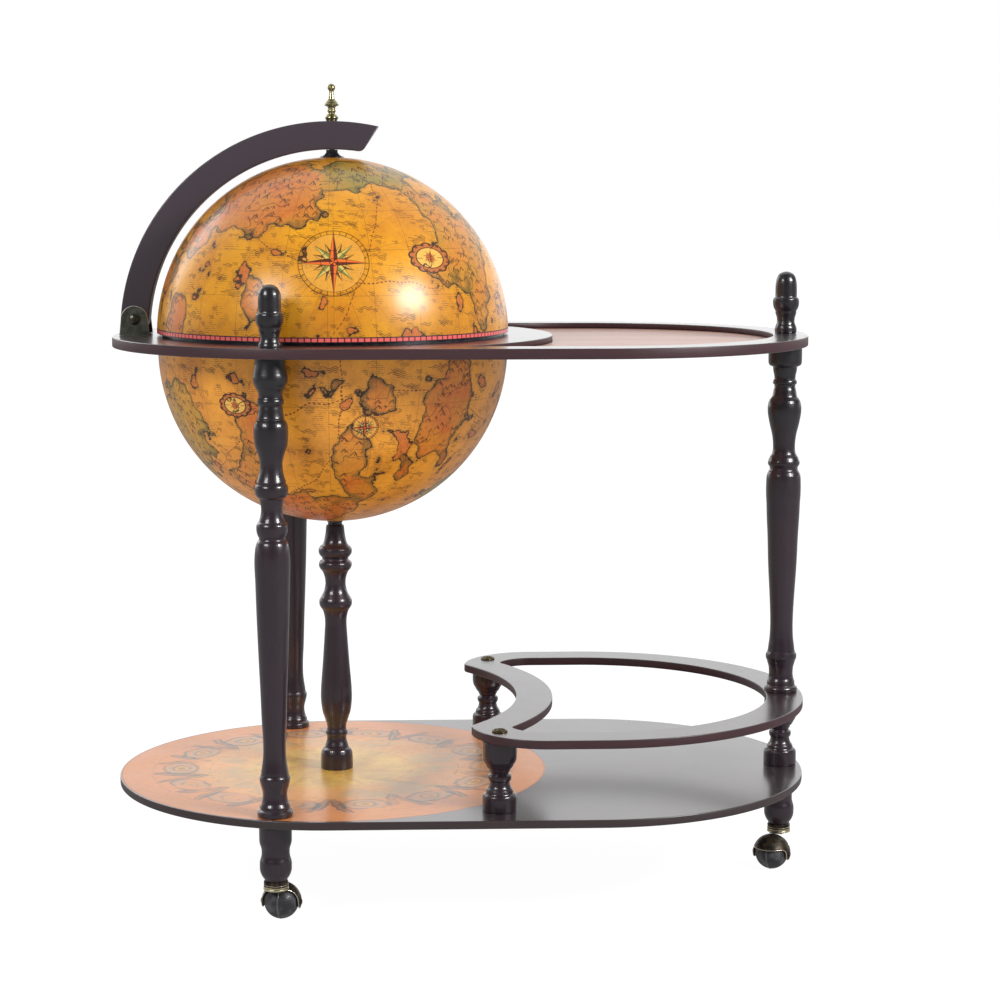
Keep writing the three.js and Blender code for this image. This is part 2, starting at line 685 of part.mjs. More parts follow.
const nutSides = 6;
piece('pivot_nut', alongY(plate(
  arc(0, 0, pivotNutRadius, 0, 2 * Math.PI, nutSides).slice(0, -1),
  [hole(0, 0, bore(pivotRadius), smallSteps)], pivotNutHeight, 0,
), -boltHeadSeat - pivotNutHeight), 'steel', pivotX, 0, pivotZ);

// Meridian arm, concentric with the globe's centre at the table's top
const armRootAngle = Math.PI - Math.asin(pivotRise / armMid);
const armOutline = [
  ...arc(globeX, tableTop, armOuterRadius, armOuterEnd, armRootAngle, endSteps),
  ...arc(pivotX, pivotZ, armEndRadius, armRootAngle, armRootAngle + Math.PI, endSteps / 2).slice(1, -1),
  ...arc(globeX, tableTop, armInnerRadius, armRootAngle, armInnerEnd, endSteps),
];
const armPlate = alongY(plate(
  armOutline, [hole(pivotX, pivotZ, bore(pivotRadius), smallSteps)], armDepth, 0,
), -armHalf);
const poleHole = rod(
  bore(polePinRadius), tableTop + armInnerRadius - cutOver, tableTop + armOuterRadius + cutOver,
).translate(globeX, 0, 0);
piece('meridian_arm', cut(armPlate, poleHole), 'lacquer');

const finialBase = tableTop + armOuterRadius + seatGap;
piece('arm_finial', turned(
  armFinialShares, armFinialHeight, armFinialRadius,
  { radius: bore(polePinRadius), depth: polePinRise + studEndGap }, {},
), 'brass', globeX, 0, finialBase);

const pinFlat = polePinHeadRadius + runGap; // level seat for the pin's head
const pinFlatZ = lidCentre + sphereReach(lidInner, pinFlat);
const pinHeadTop = pinFlatZ - seatGap;
piece('pole_pin', lathe([
  new THREE.Vector2(0, pinHeadTop - polePinHeadHeight),
  new THREE.Vector2(polePinHeadRadius, pinHeadTop - polePinHeadHeight),
  new THREE.Vector2(polePinHeadRadius, pinHeadTop),
  new THREE.Vector2(polePinRadius, pinHeadTop),
  new THREE.Vector2(polePinRadius, finialBase + polePinRise),
  new THREE.Vector2(0, finialBase + polePinRise),
], smallSteps), 'steel', globeX);

const capHole = bore(polePinRadius);
const capTop = tableTop + sphereReach(armInnerRadius, poleCapTopRadius) - seatGap;
piece('pole_cap', lathe([
  new THREE.Vector2(capHole, lidPole + seatGap),
  new THREE.Vector2(poleCapRadius, lidPole + seatGap),
  new THREE.Vector2(poleCapTopRadius, (lidPole + capTop) / 2),
  new THREE.Vector2(poleCapTopRadius, capTop),
  new THREE.Vector2(capHole, capTop),
  new THREE.Vector2(capHole, lidPole + seatGap),
]), 'black', globeX);

// Lid: the globe's upper half, turning on the pole pin
const lidHole = bore(polePinRadius);
const lipRadius = ringRadius - lidLipWidth;
const lipTop = lidRim + lidLipHeight;
piece('globe_lid', lathe([
  new THREE.Vector2(lipRadius, lidRim),
  ...domeArc(
    lidCentre, globeRadius,
    Math.asin((lidRim - lidCentre) / globeRadius), Math.acos(lidHole / globeRadius),
  ),
  new THREE.Vector2(lidHole, pinFlatZ),
  ...domeArc(
    lidCentre, lidInner, Math.acos(pinFlat / lidInner), Math.asin((lipTop - lidCentre) / lidInner),
  ),
  new THREE.Vector2(lipRadius, lipTop),
  new THREE.Vector2(lipRadius, lidRim),
], globeSteps), 'paper', globeX);

// Ball casters: a fixed stem, a hood that swivels on it, and a ball on an axle in the hood
const hoodInner = ballRadius / Math.cos(Math.PI / ballSteps) + ballGap;
const hoodOuter = hoodInner + hoodWall;
const ballBore = bore(casterAxleRadius);

// A ball about the Y axis; its facets, not their corners, lie at the ball's radius
function ballSolid(radius, bore) {
  const facetRadius = radius / Math.cos(Math.PI / ballSteps);
  const reach = bore > 0 ? Math.acos(bore / facetRadius) : Math.PI / 2;
  const profile = arc(0, 0, facetRadius, -reach, reach, smallSteps);
  if (bore > 0) profile.push(profile[0].clone());
  return new THREE.LatheGeometry(profile, ballSteps, Math.PI / ballSteps);
}

function hoodSolid() {
  const ball = solid(new THREE.SphereGeometry(hoodOuter, ballSteps, smallSteps).rotateX(Math.PI / 2));
  const span = 2 * hoodOuter;
  const capBlock = new THREE.BoxGeometry(2 * span, 2 * span, span);
  capBlock.translate(0, 0, hoodBrim + span / 2);
  const lugOutline = [
    ...arc(0, 0, lugHalf, -Math.PI, 0, cornerSteps),
    new THREE.Vector2(lugHalf, hoodOuter),
    new THREE.Vector2(-lugHalf, hoodOuter),
  ];
  const lugs = alongY(plate(lugOutline, [], span, 0), -span / 2);
  const dome = ball.intersect(solid(capBlock).add(solid(lugs)));
  const collarProfile = [
    [0, collarBaseHeight], [1, collarBaseHeight], [1, collarTopHeight], [0, collarTopHeight],
  ].map(([out, z]) => new THREE.Vector2(out * casterCollarRadius, z - ballRadius));
  const collarMid = (collarBaseHeight + collarTopHeight) / 2 - ballRadius;
  collarProfile.splice(2, 0,
    new THREE.Vector2(casterCollarRadius, collarMid - collarGroove),
    new THREE.Vector2(casterCollarRadius - collarGroove, collarMid),
    new THREE.Vector2(casterCollarRadius, collarMid + collarGroove));
  const collar = solid(lathe(collarProfile).translate(-casterTrail, 0, 0));
  const neckOutline = [
    new THREE.Vector2(-casterTrail - casterCollarRadius / 2, collarBaseHeight - ballRadius),
    new THREE.Vector2(-hoodInner, hoodBrim),
    new THREE.Vector2(0, hoodInner),
    new THREE.Vector2(-casterTrail + casterCollarRadius, collarTopHeight - ballRadius - cutOver),
    new THREE.Vector2(-casterTrail - casterCollarRadius / 2, collarTopHeight - ballRadius - cutOver),
  ];
  const neck = solid(alongY(plate(neckOutline, [], 2 * lugHalf, 0), -lugHalf));
  const room = solid(new THREE.SphereGeometry(hoodInner, ballSteps, smallSteps).rotateX(Math.PI / 2));
  const stemHole = solid(rod(
    bore(casterStemRadius), -ballRadius, collarTopHeight,
  ).translate(-casterTrail, 0, 0));
  const headRoom = solid(rod(
    bore(casterStemHeadRadius), -ballRadius, collarBaseHeight - ballRadius + casterStemHeadHeight,
  ).translate(-casterTrail, 0, 0));
  const axleHole = solid(rod(ballBore, -span, span).rotateX(Math.PI / 2));
  return surface(dome.add(collar).add(neck).subtract(room).subtract(stemHole)
    .subtract(headRoom).subtract(axleHole));
}

for (const { name, x, y, trail } of stations) {
  const ballX = x + casterTrail * Math.cos(trail);
  const ballY = y + casterTrail * Math.sin(trail);
  const axleHalf = hoodOuter + casterAxleOver;
  const axle = rod(casterAxleRadius, -axleHalf, axleHalf).rotateX(Math.PI / 2);
  const carried = [
    piece(`caster_ball_${name}`, ballSolid(ballRadius, ballBore), 'ball'),
    piece(`caster_hood_${name}`, hoodSolid(), 'bronze'),
    piece(`caster_axle_${name}`, axle, 'steel'),
  ];
  for (const mesh of carried) {
    mesh.position.set(ballX, ballY, ballRadius);
    mesh.rotation.z = trail;
  }
  const headTop = collarBaseHeight + casterStemHeadHeight - seatGap;
  piece(`caster_stem_${name}`, lathe([
    new THREE.Vector2(0, collarBaseHeight),
    new THREE.Vector2(casterStemHeadRadius, collarBaseHeight),
    new THREE.Vector2(casterStemHeadRadius, headTop),
    new THREE.Vector2(casterStemRadius, headTop),
    new THREE.Vector2(casterStemRadius, footBase + casterStemReach),
    new THREE.Vector2(0, footBase + casterStemReach),
  ], smallSteps), 'steel', x, y);
}

export default bar;
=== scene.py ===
"""Looks of the floor globe bar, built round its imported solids.

A round-ended table and a shelf stand on three turned legs with ball casters. A globe in two
halves stands through the table, and a hinged meridian arm lifts its upper half. Each
sub-assembly is a class whose fields are millimetres; the finished meshes are in metres, at
their places in the part's frame.
"""

import logging
import math
from contextlib import contextmanager
from dataclasses import dataclass
from enum import Enum
from typing import Iterable, Iterator, Sequence

import bmesh
import bpy
import numpy as np
from mathutils import Matrix, Vector
from mathutils.geometry import tessellate_polygon


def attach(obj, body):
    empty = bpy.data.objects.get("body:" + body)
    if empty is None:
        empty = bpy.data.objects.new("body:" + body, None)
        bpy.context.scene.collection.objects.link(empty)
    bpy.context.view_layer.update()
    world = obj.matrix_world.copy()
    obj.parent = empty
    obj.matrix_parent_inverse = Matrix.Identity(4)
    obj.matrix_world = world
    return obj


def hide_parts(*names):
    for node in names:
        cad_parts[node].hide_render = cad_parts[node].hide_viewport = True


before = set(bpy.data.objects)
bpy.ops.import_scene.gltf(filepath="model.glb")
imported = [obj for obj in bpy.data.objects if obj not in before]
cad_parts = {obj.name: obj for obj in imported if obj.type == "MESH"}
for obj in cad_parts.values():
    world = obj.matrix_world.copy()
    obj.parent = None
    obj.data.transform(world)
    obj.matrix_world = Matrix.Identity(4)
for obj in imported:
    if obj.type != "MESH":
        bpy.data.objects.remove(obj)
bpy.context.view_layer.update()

MM = 0.001
TURN = 2 * math.pi
QUARTER = math.pi / 2
LOG = logging.getLogger("globe_bar")

Point2 = tuple[float, float]
Point3 = tuple[float, float, float]
Profile = Sequence[Point2]
Colour = str  # red, green and blue of a screen, as three hexadecimal pairs


class Slot(Enum):
    """Material slots of the record."""

    LACQUER = "lacquer"
    BOARD = "board"
    PANEL = "panel"
    PAPER = "paper"
    BLACK = "black"
    BRASS = "brass"
    BRONZE = "bronze"
    BALL = "ball"


class Body(Enum):
    """Bodies that move on their own, apart from the casters."""

    STAND = "stand"
    ARM = "arm"
    LID = "lid"


class Station(Enum):
    """Places of the three legs: name, axis and the direction from it to the ball in degrees."""

    LEFT_FRONT = ("left_front", (-217.01, -230.03), 78.9)
    LEFT_BACK = ("left_back", (-217.01, 230.03), 200.0)
    RIGHT = ("right", (392.25, 0.0), 242.0)

    def __init__(self, label: str, spot: Point2, trail: float) -> None:
        """Names the three values."""
        self.label, self.spot, self.trail = label, spot, trail


def paint(code: Colour) -> tuple[float, float, float, float]:
    """Linear red, green, blue and an alpha of one of a screen's colour."""
    shares = [int(code[i:i + 2], 16) / 255 for i in (0, 2, 4)]
    linear = [c / 12.92 if c <= 0.04045 else ((c + 0.055) / 1.055) ** 2.4 for c in shares]
    return (*linear, 1.0)


# Node graphs


class Wire:
    """An output socket whose operators and methods add nodes to its tree."""

    def __init__(self, graph: "Graph", socket: bpy.types.NodeSocket) -> None:
        """Keeps the graph and the socket."""
        self.graph, self.socket = graph, socket

    def math(self, operation: str, *others: "Wire | float") -> "Wire":
        """Adds one Math node with this wire as its first value."""
        return self.graph.math(operation, self, *others)

    def __add__(self, other: "Wire | float") -> "Wire":
        """Sum."""
        return self.math("ADD", other)

    def __sub__(self, other: "Wire | float") -> "Wire":
        """Difference."""
        return self.math("SUBTRACT", other)

    def __rsub__(self, other: float) -> "Wire":
        """Difference from a number."""
        return self.graph.math("SUBTRACT", other, self)

    def __mul__(self, other: "Wire | float") -> "Wire":
        """Product."""
        return self.math("MULTIPLY", other)

    def __truediv__(self, other: "Wire | float") -> "Wire":
        """Quotient."""
        return self.math("DIVIDE", other)

    def __abs__(self) -> "Wire":
        """Absolute value."""
        return self.math("ABSOLUTE")

    __radd__ = __add__
    __rmul__ = __mul__

    def sine(self) -> "Wire":
        """Sine of radians."""
        return self.math("SINE")

    def cosine(self) -> "Wire":
        """Cosine of radians."""
        return self.math("COSINE")

    def floor(self) -> "Wire":
        """Whole number below."""
        return self.math("FLOOR")

    def fraction(self) -> "Wire":
        """Part after the point."""
        return self.math("FRACT")

    def above(self, limit: "Wire | float") -> "Wire":
        """One where the value is over a limit."""
        return self.math("GREATER_THAN", limit)

    def below(self, limit: "Wire | float") -> "Wire":
        """One where the value is under a limit."""
        return self.math("LESS_THAN", limit)

    def most(self, other: "Wire | float") -> "Wire":
        """Larger of two."""
        return self.math("MAXIMUM", other)

    def bearing(self, across: "Wire") -> "Wire":
        """Angle in radians of a place that is this far up and so far across."""
        return self.math("ARCTAN2", across)

    def ramp(self, low: float, high: float) -> "Wire":
        """Smooth step from nought at low to one at high, or back where low is the larger."""
        return self.graph.add("ShaderNodeMapRange", {"interpolation_type": "SMOOTHSTEP"},
                              {0: self, 1: low, 2: high})

    def stroke(self, half: float, soft: float = 0.22) -> "Wire":
        """One within half a line's width of nought, with soft sides."""
        return abs(self).ramp(half + soft, max(half - soft, 0.0))

    def repeat(self, period: float) -> "Wire":
        """Distance to the nearest multiple of a period, with its sign."""
        return ((self / period + 0.5).fraction() - 0.5) * period

    def parts(self) -> tuple["Wire", "Wire", "Wire"]:
        """Three parts of this vector."""
        first = self.graph.add("ShaderNodeSeparateXYZ", None, {0: self})
        outputs = first.socket.node.outputs
        return first, Wire(self.graph, outputs[1]), Wire(self.graph, outputs[2])

    def join(self, y: "Wire | float", z: "Wire | float") -> "Wire":
        """Vector of this and two more."""
        return self.graph.add("ShaderNodeCombineXYZ", None, {0: self, 1: y, 2: z})

    def stretch(self, share: Point3) -> "Wire":
        """This vector with each axis multiplied."""
        return self.graph.add("ShaderNodeVectorMath", {"operation": "MULTIPLY"},
                              {0: self, 1: share})

    def dot(self, direction: Sequence[float]) -> "Wire":
        """Length of this vector along a direction."""
        return self.graph.add("ShaderNodeVectorMath", {"operation": "DOT_PRODUCT"},
                              {0: self, 1: tuple(direction)}, "Value")

    def noise(self, period: float, detail: float = 2.0, rough: float = 0.5) -> "Wire":
        """Noise from nought to one at this place, whose features are about a period wide."""
        return self.graph.add("ShaderNodeTexNoise", None, {
            "Vector": self, "Scale": 1 / period, "Detail": detail, "Roughness": rough})

    def sway(self, reach: float, period: float, detail: float = 2.0, rough: float = 0.5) -> "Wire":
        """Noise at this place that swings half a reach each way."""
        return (self.noise(period, detail, rough) - 0.5) * reach

    def mix(self, first: "Wire | Colour", second: "Wire | Colour") -> "Wire":
        """Colour that goes from a first to a second as this goes from nought to one."""
        return self.graph.add("ShaderNodeMix", {"data_type": "RGBA"},
                              {0: self, 6: first, 7: second}, 2)

    def under(self, mask: "Wire", cover: "Wire | Colour") -> "Wire":
        """This colour with another over it where a mask is one."""
        return mask.mix(self, cover)


def span(across: Wire, up: Wire) -> Wire:
    """Distance from a middle to a place across and up from it."""
    return (across * across + up * up).math("SQRT")


class Graph:
    """A node tree that is filled by one method."""

    def __init__(self, tree: bpy.types.NodeTree) -> None:
        """Keeps the tree."""
        self.tree = tree

    def add(self, kind: str, settings: dict | None = None, values: dict | None = None,
            out: int | str = 0) -> Wire:
        """Adds a node.

        Args:
            kind: type name of the node.
            settings: its properties, which are set first; stops fill a colour ramp.
            values: numbers, colours or wires for its inputs, by index or name.
            out: index or name of the output wanted.

        Returns:
            The wanted output.
        """
        node = self.tree.nodes.new(kind)
        for key, value in (settings or {}).items():
            if key == "stops":
                ramp = node.color_ramp
                while len(ramp.elements) < len(value):
                    ramp.elements.new(1.0)
                for element, (place, colour) in zip(ramp.elements, value):
                    element.position, element.color = place, paint(colour)
            else:
                setattr(node, key, value)
        for key, value in (values or {}).items():
            self.feed(node.inputs[key], value)
        return Wire(self, node.outputs[out])

    def feed(self, socket: bpy.types.NodeSocket, value: object) -> None:
        """Links a wire to a socket, or sets its number, vector or colour."""
        if isinstance(value, Wire):
            self.tree.links.new(value.socket, socket)
        else:
            socket.default_value = paint(value) if isinstance(value, Colour) else value

    def math(self, operation: str, *values: Wire | float) -> Wire:
        """Adds a Math node."""
        return self.add("ShaderNodeMath", {"operation": operation}, dict(enumerate(values)))


class Shader(Graph):
    """A material whose Principled shader is fed by wires."""

    def __init__(self, name: str) -> None:
        """Makes a named material with a bare Principled shader."""
        self.material = bpy.data.materials.new(name)
        self.material.use_nodes = True
        super().__init__(self.material.node_tree)
        self.tree.nodes.clear()
        self.principled = self.tree.nodes.new("ShaderNodeBsdfPrincipled")
        output = self.tree.nodes.new("ShaderNodeOutputMaterial")
        self.tree.links.new(self.principled.outputs[0], output.inputs[0])

    def spot(self, origin: Point3 = (0.0, 0.0, 0.0)) -> Wire:
        """Object coordinates in millimetres from an origin."""
        away = tuple(-c for c in origin)
        return self.add("ShaderNodeVectorMath", {"operation": "MULTIPLY_ADD"}, {
            0: self.add("ShaderNodeTexCoord", out="Object"), 1: (1 / MM,) * 3, 2: away})

    def attribute(self, name: str) -> Wire:
        """Number that the mesh carries under a name."""
        return self.add("ShaderNodeAttribute", {"attribute_name": name}, out="Fac")

    def relief(self, height: Wire, depth: float) -> Wire:
        """Normal bumped by a height, where one is a depth in millimetres."""
        return self.add("ShaderNodeBump", None, {
            "Height": height, "Distance": depth * MM, "Strength": 1.0})

    def surface(self, **values: object) -> bpy.types.Material:
        """Feeds the Principled shader, with underscores for the spaces of its names."""
        for key, value in values.items():
            self.feed(self.principled.inputs[key.replace("_", " ")], value)
        return self.material


class GeometryTree(Graph):
    """A Geometry Nodes tree with named inputs, run once on a mesh."""

    def __init__(self, name: str, **inputs: str) -> None:
        """Makes the tree and its sockets.

        Args:
            name: name of the tree.
            inputs: kind of each input, by name; the first takes the mesh.
        """
        super().__init__(bpy.data.node_groups.new(name, "GeometryNodeTree"))
        self.keys: dict[str, str] = {}
        for label, kind in inputs.items():
            socket = self.tree.interface.new_socket(label, in_out="INPUT",
                                                    socket_type=f"NodeSocket{kind}")
            self.keys[label] = socket.identifier
        self.tree.interface.new_socket("Result", in_out="OUTPUT",
                                       socket_type="NodeSocketGeometry")
        self.entry = self.tree.nodes.new("NodeGroupInput")

    def given(self, label: str) -> Wire:
        """Wire of a named input."""
        return Wire(self, self.entry.outputs[label])

    def close(self, geometry: Wire) -> None:
        """Ends the tree in Realize Instances and Set Material."""
        real = self.add("GeometryNodeRealizeInstances", None, {0: geometry})
        dressed = self.add("GeometryNodeSetMaterial", None,
                           {"Geometry": real, "Material": self.given("Material")})
        self.feed(self.tree.nodes.new("NodeGroupOutput").inputs[0], dressed)

    def run(self, seed: bpy.types.Mesh, **values: object) -> bpy.types.Mesh:
        """Runs the tree on a mesh.

        Args:
            seed: mesh that the first input takes.
            values: other inputs by name.

        Returns:
            The result as a plain mesh.
        """
        carrier = linked("carrier", seed)
        modifier = carrier.modifiers.new("nodes", "NODES")
        modifier.node_group = self.tree
        for label, value in values.items():
            modifier[self.keys[label]] = value
        return flattened(carrier)


def turning_tree() -> GeometryTree:
    """Tree that turns a profile about the Z axis, as a lathe does.

    Returns:
        A tree whose mesh is a line of points (radius, 0, height) from the bottom up.
    """
    tree = GeometryTree("turning", Profile="Geometry", Segments="Int", Weld="Float",
                        Sharp="Float", Material="Material")
    profile = tree.given("Profile")
    rows = tree.add("GeometryNodeAttributeDomainSize", {"component": "MESH"}, {0: profile})
    grid = tree.add("GeometryNodeMeshGrid", None, {
        "Size X": 1.0, "Size Y": 1.0, "Vertices X": tree.given("Segments") + 1,
        "Vertices Y": rows})
    across, up, _ = tree.add("GeometryNodeInputPosition").parts()
    angle = (across + 0.5) * TURN
    index = ((up + 0.5) * (rows - 1)).math("ROUND")
    radius, _, height = tree.add(
        "GeometryNodeSampleIndex", {"data_type": "FLOAT_VECTOR", "domain": "POINT"}, {
            "Geometry": profile, "Value": tree.add("GeometryNodeInputPosition"),
            "Index": index}).parts()
    place = (radius * angle.cosine()).join(radius * angle.sine(), height)
    bent = tree.add("GeometryNodeSetPosition", None, {"Geometry": grid, "Position": place})
    welded = tree.add("GeometryNodeMergeByDistance", None, {
        "Geometry": bent, "Distance": tree.given("Weld")})
    smooth = tree.add("GeometryNodeInputMeshEdgeAngle").below(tree.given("Sharp"))
    tree.close(tree.add("GeometryNodeSetShadeSmooth", {"domain": "EDGE"}, {
        "Geometry": welded, "Shade Smooth": smooth}))
    return tree


def setting_tree() -> GeometryTree:
    """Tree that sets a template out on the points of a mesh."""
    tree = GeometryTree("setting_out", Places="Geometry", Template="Object",
                        Material="Material")
    template = tree.add("GeometryNodeObjectInfo", None, {
        "Object": tree.given("Template"), "As Instance": True}, "Geometry")
    tree.close(tree.add("GeometryNodeInstanceOnPoints", None, {
        "Points": tree.given("Places"), "Instance": template}))
    return tree


# Mesh making


def linked(name: str, data: bpy.types.ID) -> bpy.types.Object:
    """Puts some data into the scene as an object."""
    thing = bpy.data.objects.new(name, data)
    bpy.context.scene.collection.objects.link(thing)
    return thing


def flattened(carrier: bpy.types.Object) -> bpy.types.Mesh:
    """Plain mesh of what an object's modifiers make; the object and its own mesh go."""
    graph = bpy.context.evaluated_depsgraph_get()
    result = bpy.data.meshes.new_from_object(carrier.evaluated_get(graph), depsgraph=graph)
    seed = carrier.data
    carrier.modifiers.clear()
    bpy.data.objects.remove(carrier)
    bpy.data.meshes.remove(seed)
    return result


def meshed(name: str, points: Iterable[Point3], faces: Iterable = ()) -> bpy.types.Mesh:
    """Mesh of points and faces."""
    mesh = bpy.data.meshes.new(name)
    mesh.from_pydata(list(points), [], list(faces))
    return mesh


@contextmanager
def edited(mesh: bpy.types.Mesh) -> Iterator[bmesh.types.BMesh]:
    """Opens a mesh for editing and writes it back."""
    build = bmesh.new()
    build.from_mesh(mesh)
    yield build
    build.to_mesh(mesh)
    build.free()


def mended(mesh: bpy.types.Mesh) -> bpy.types.Mesh:
    """Merges a mesh's doubles and turns its faces outwards."""
    with edited(mesh) as build:
        bmesh.ops.remove_doubles(build, verts=build.verts, dist=1e-4)
        bmesh.ops.recalc_face_normals(build, faces=build.faces)
    return mesh


def creased(mesh: bpy.types.Mesh, degrees: float) -> bpy.types.Mesh:
    """Shades a mesh smooth, apart from edges that bend more than an angle."""
    limit = math.radians(degrees)
    with edited(mesh) as build:
        for face in build.faces:
            face.smooth = True
        for edge in build.edges:
            edge.smooth = not edge.is_manifold or edge.calc_face_angle() < limit
    return mesh


def joined(parts: Iterable[bpy.types.Mesh]) -> bpy.types.Mesh:
    """Meshes put together as one."""
    mesh = bpy.data.meshes.new("joined")
    with edited(mesh) as build:
        for part in parts:
            build.from_mesh(part)
    return mesh


def readings(items: bpy.types.bpy_prop_collection, key: str) -> np.ndarray:
    """Rows of the three numbers that a mesh's points or faces hold under a key."""
    values = np.zeros(len(items) * 3, np.float32)
    items.foreach_get(key, values)
    return values.reshape(-1, 3)


def number(mesh: bpy.types.Mesh, name: str, values: np.ndarray, domain: str = "FACE") -> None:
    """Stores a number on each face or point of a mesh."""
    data = mesh.attributes.new(name, "FLOAT", domain).data
    data.foreach_set("value", values.astype(np.float32))


def marked(mesh: bpy.types.Mesh, squared: bool = False) -> bpy.types.Mesh:
    """Stores how far each face turns from level, or from any square way, as "edge"."""
    straight = np.abs(readings(mesh.polygons, "normal"))
    number(mesh, "edge", 1 - (straight.max(axis=1) if squared else straight[:, 2]))
    return mesh


def arc(centre: Point2, radius: float, start: float, end: float, steps: int) -> list[Point2]:
    """Points along an arc.

    Args:
        centre: its centre.
        radius: its radius.
        start: first angle in radians.
        end: last angle in radians.
        steps: spaces between its points.

    Returns:
        The points, both ends included.
    """
    angles = np.linspace(start, end, steps + 1)
    return [(centre[0] + radius * math.cos(a), centre[1] + radius * math.sin(a)) for a in angles]


def polar(radius: float, degrees: float) -> Point2:
    """Place on a circle round the origin."""
    turn = math.radians(degrees)
    return radius * math.cos(turn), radius * math.sin(turn)


def ring(centre: Point2, radius: float, steps: int = 48, hole: bool = True) -> list[Point2]:
    """Closed circle, clockwise where it is a hole."""
    return arc(centre, radius, 0.0, -TURN if hole else TURN, steps)[:-1]


def inset(loop: Sequence[Point2], amount: float) -> np.ndarray:
    """Moves a closed loop to its left, which is into the board.

    Args:
        loop: corners, anticlockwise for an outline and clockwise for a hole.
        amount: how far.

    Returns:
        The moved corners.
    """
    corners = np.array(loop, float)
    ahead = np.roll(corners, -1, 0) - corners
    ahead /= np.linalg.norm(ahead, axis=1)[:, None]
    behind = np.roll(ahead, 1, 0)
    left = np.stack([-ahead[:, 1], ahead[:, 0]], 1) + np.stack([-behind[:, 1], behind[:, 0]], 1)
    length = np.linalg.norm(left, axis=1)[:, None]
    return corners + left / length * (amount * 2 / length.clip(1.0))


def level(loop: Iterable[Point2], height: float) -> list[Point3]:
    """A loop at a height."""
    return [(x, y, height) for x, y in loop]


def eased(loop: Sequence[Point2], base: float, top: float, ease: float, steps: int = 3) -> list:
    """Rows of a board's edge from its top face to its lower face, with eased corners.

    Args:
        loop: outline or hole.
        base: height of the lower face.
        top: height of the top face.
        ease: radius of both corners.
        steps: facets on each corner.

    Returns:
        Rows of points with the same count.
    """
    turns = [QUARTER * i / steps for i in range(steps + 1)]
    upper = [(ease * (1 - math.sin(a)), top - ease * (1 - math.cos(a))) for a in turns]
    lower = [(away, base + top - height) for away, height in reversed(upper)]
    return [level(inset(loop, away), height) for away, height in upper + lower]


def bands(count: int, rows: int, start: int = 0, closed: bool = False) -> list[tuple[int, ...]]:
    """Faces between rows of points that each go round.

    Args:
        count: points in a row.
        rows: how many rows.
        start: number of the first point.
        closed: whether the last row joins the first.

    Returns:
        Numbers of each face's points.
    """
    faces = []
    for row in range(rows if closed else rows - 1):
        here, there = start + row * count, start + (row + 1) % rows * count
        faces += [(here + i, there + i, there + (i + 1) % count, here + (i + 1) % count)
                  for i in range(count)]
    return faces


def slab(*edges: list) -> bpy.types.Mesh:
    """Board with flat faces from the rows of its edges.

    Args:
        edges: rows of the outline, then of each hole, each from the top face down.

    Returns:
        A closed mesh in millimetres, with flat faces above and below and smooth edges.
    """
    vertices: list[Point3] = []
    faces: list[tuple[int, ...]] = []
    caps: list[list[range]] = [[], []]
    for rows in edges:
        count, start = len(rows[0]), len(vertices)
        vertices += [point for row in rows for point in row]
        faces += bands(count, len(rows), start)
        caps[0].append(range(start, start + count))
        caps[1].append(range(len(vertices) - count, len(vertices)))
    walls = len(faces)
    for loops in caps:
        order = [i for loop in loops for i in loop]
        flat = [[Vector(vertices[i]) for i in loop] for loop in loops]
        faces += [tuple(order[i] for i in corner) for corner in tessellate_polygon(flat)]
    mesh = meshed("slab", vertices, faces)
    mesh.polygons.foreach_set("use_smooth", [i < walls for i in range(len(faces))])
    return mended(mesh)


def tube(path: Sequence[Point3], radius: float, sides: int = 8) -> bpy.types.Mesh:
    """Round bead along a closed path.

    Args:
        path: points of the closed path.
        radius: radius of the bead.
        sides: facets round it.

    Returns:
        A closed mesh.
    """
    points = [Vector(p) for p in path]
    vertices = []
    for i, point in enumerate(points):
        along = (points[(i + 1) % len(points)] - points[i - 1]).normalized()
        side = along.cross(Vector((0, 0, 1)))
        side = side.normalized() if side.length > 0.01 else Vector((1, 0, 0))
        up = side.cross(along)
        vertices += [point + radius * (side * math.cos(TURN * k / sides)
                                       + up * math.sin(TURN * k / sides)) for k in range(sides)]
    mesh = meshed("tube", vertices, bands(sides, len(points), closed=True))
    return creased(mended(mesh), 60)


def smooth_profile(marks: Profile, pitch: float) -> list[Point2]:
    """Turned outline through measured marks, by cubics that never overshoot.

    Args:
        marks: height and diameter of each mark, from the bottom up.
        pitch: longest space between the points returned.

    Returns:
        Radius and height of each point.
    """
    rise_limit = 0.8
    heights = np.array([m[0] for m in marks], float)
    radii = np.array([m[1] / 2 for m in marks], float)
    step = np.diff(heights)
    slope = np.diff(radii) / step
    bend = np.zeros(len(marks))
    bend[0], bend[-1] = slope[0], slope[-1]
    for i in range(1, len(marks) - 1):
        if slope[i - 1] * slope[i] > 0:
            first, second = 2 * step[i] + step[i - 1], step[i] + 2 * step[i - 1]
            bend[i] = (first + second) / (first / slope[i - 1] + second / slope[i])
    points: list[Point2] = []
    for i, width in enumerate(step):
        rise = abs(radii[i + 1] - radii[i])
        parts = max(2, math.ceil(width / pitch), math.ceil(rise / rise_limit))
        for t in np.arange(parts) / parts:
            left = (1 + 2 * t) * (1 - t) ** 2 * radii[i] + t * (1 - t) ** 2 * width * bend[i]
            right = t * t * (3 - 2 * t) * radii[i + 1] + t * t * (t - 1) * width * bend[i + 1]
            points.append((left + right, heights[i] + t * width))
    points.append((radii[-1], heights[-1]))
    return points


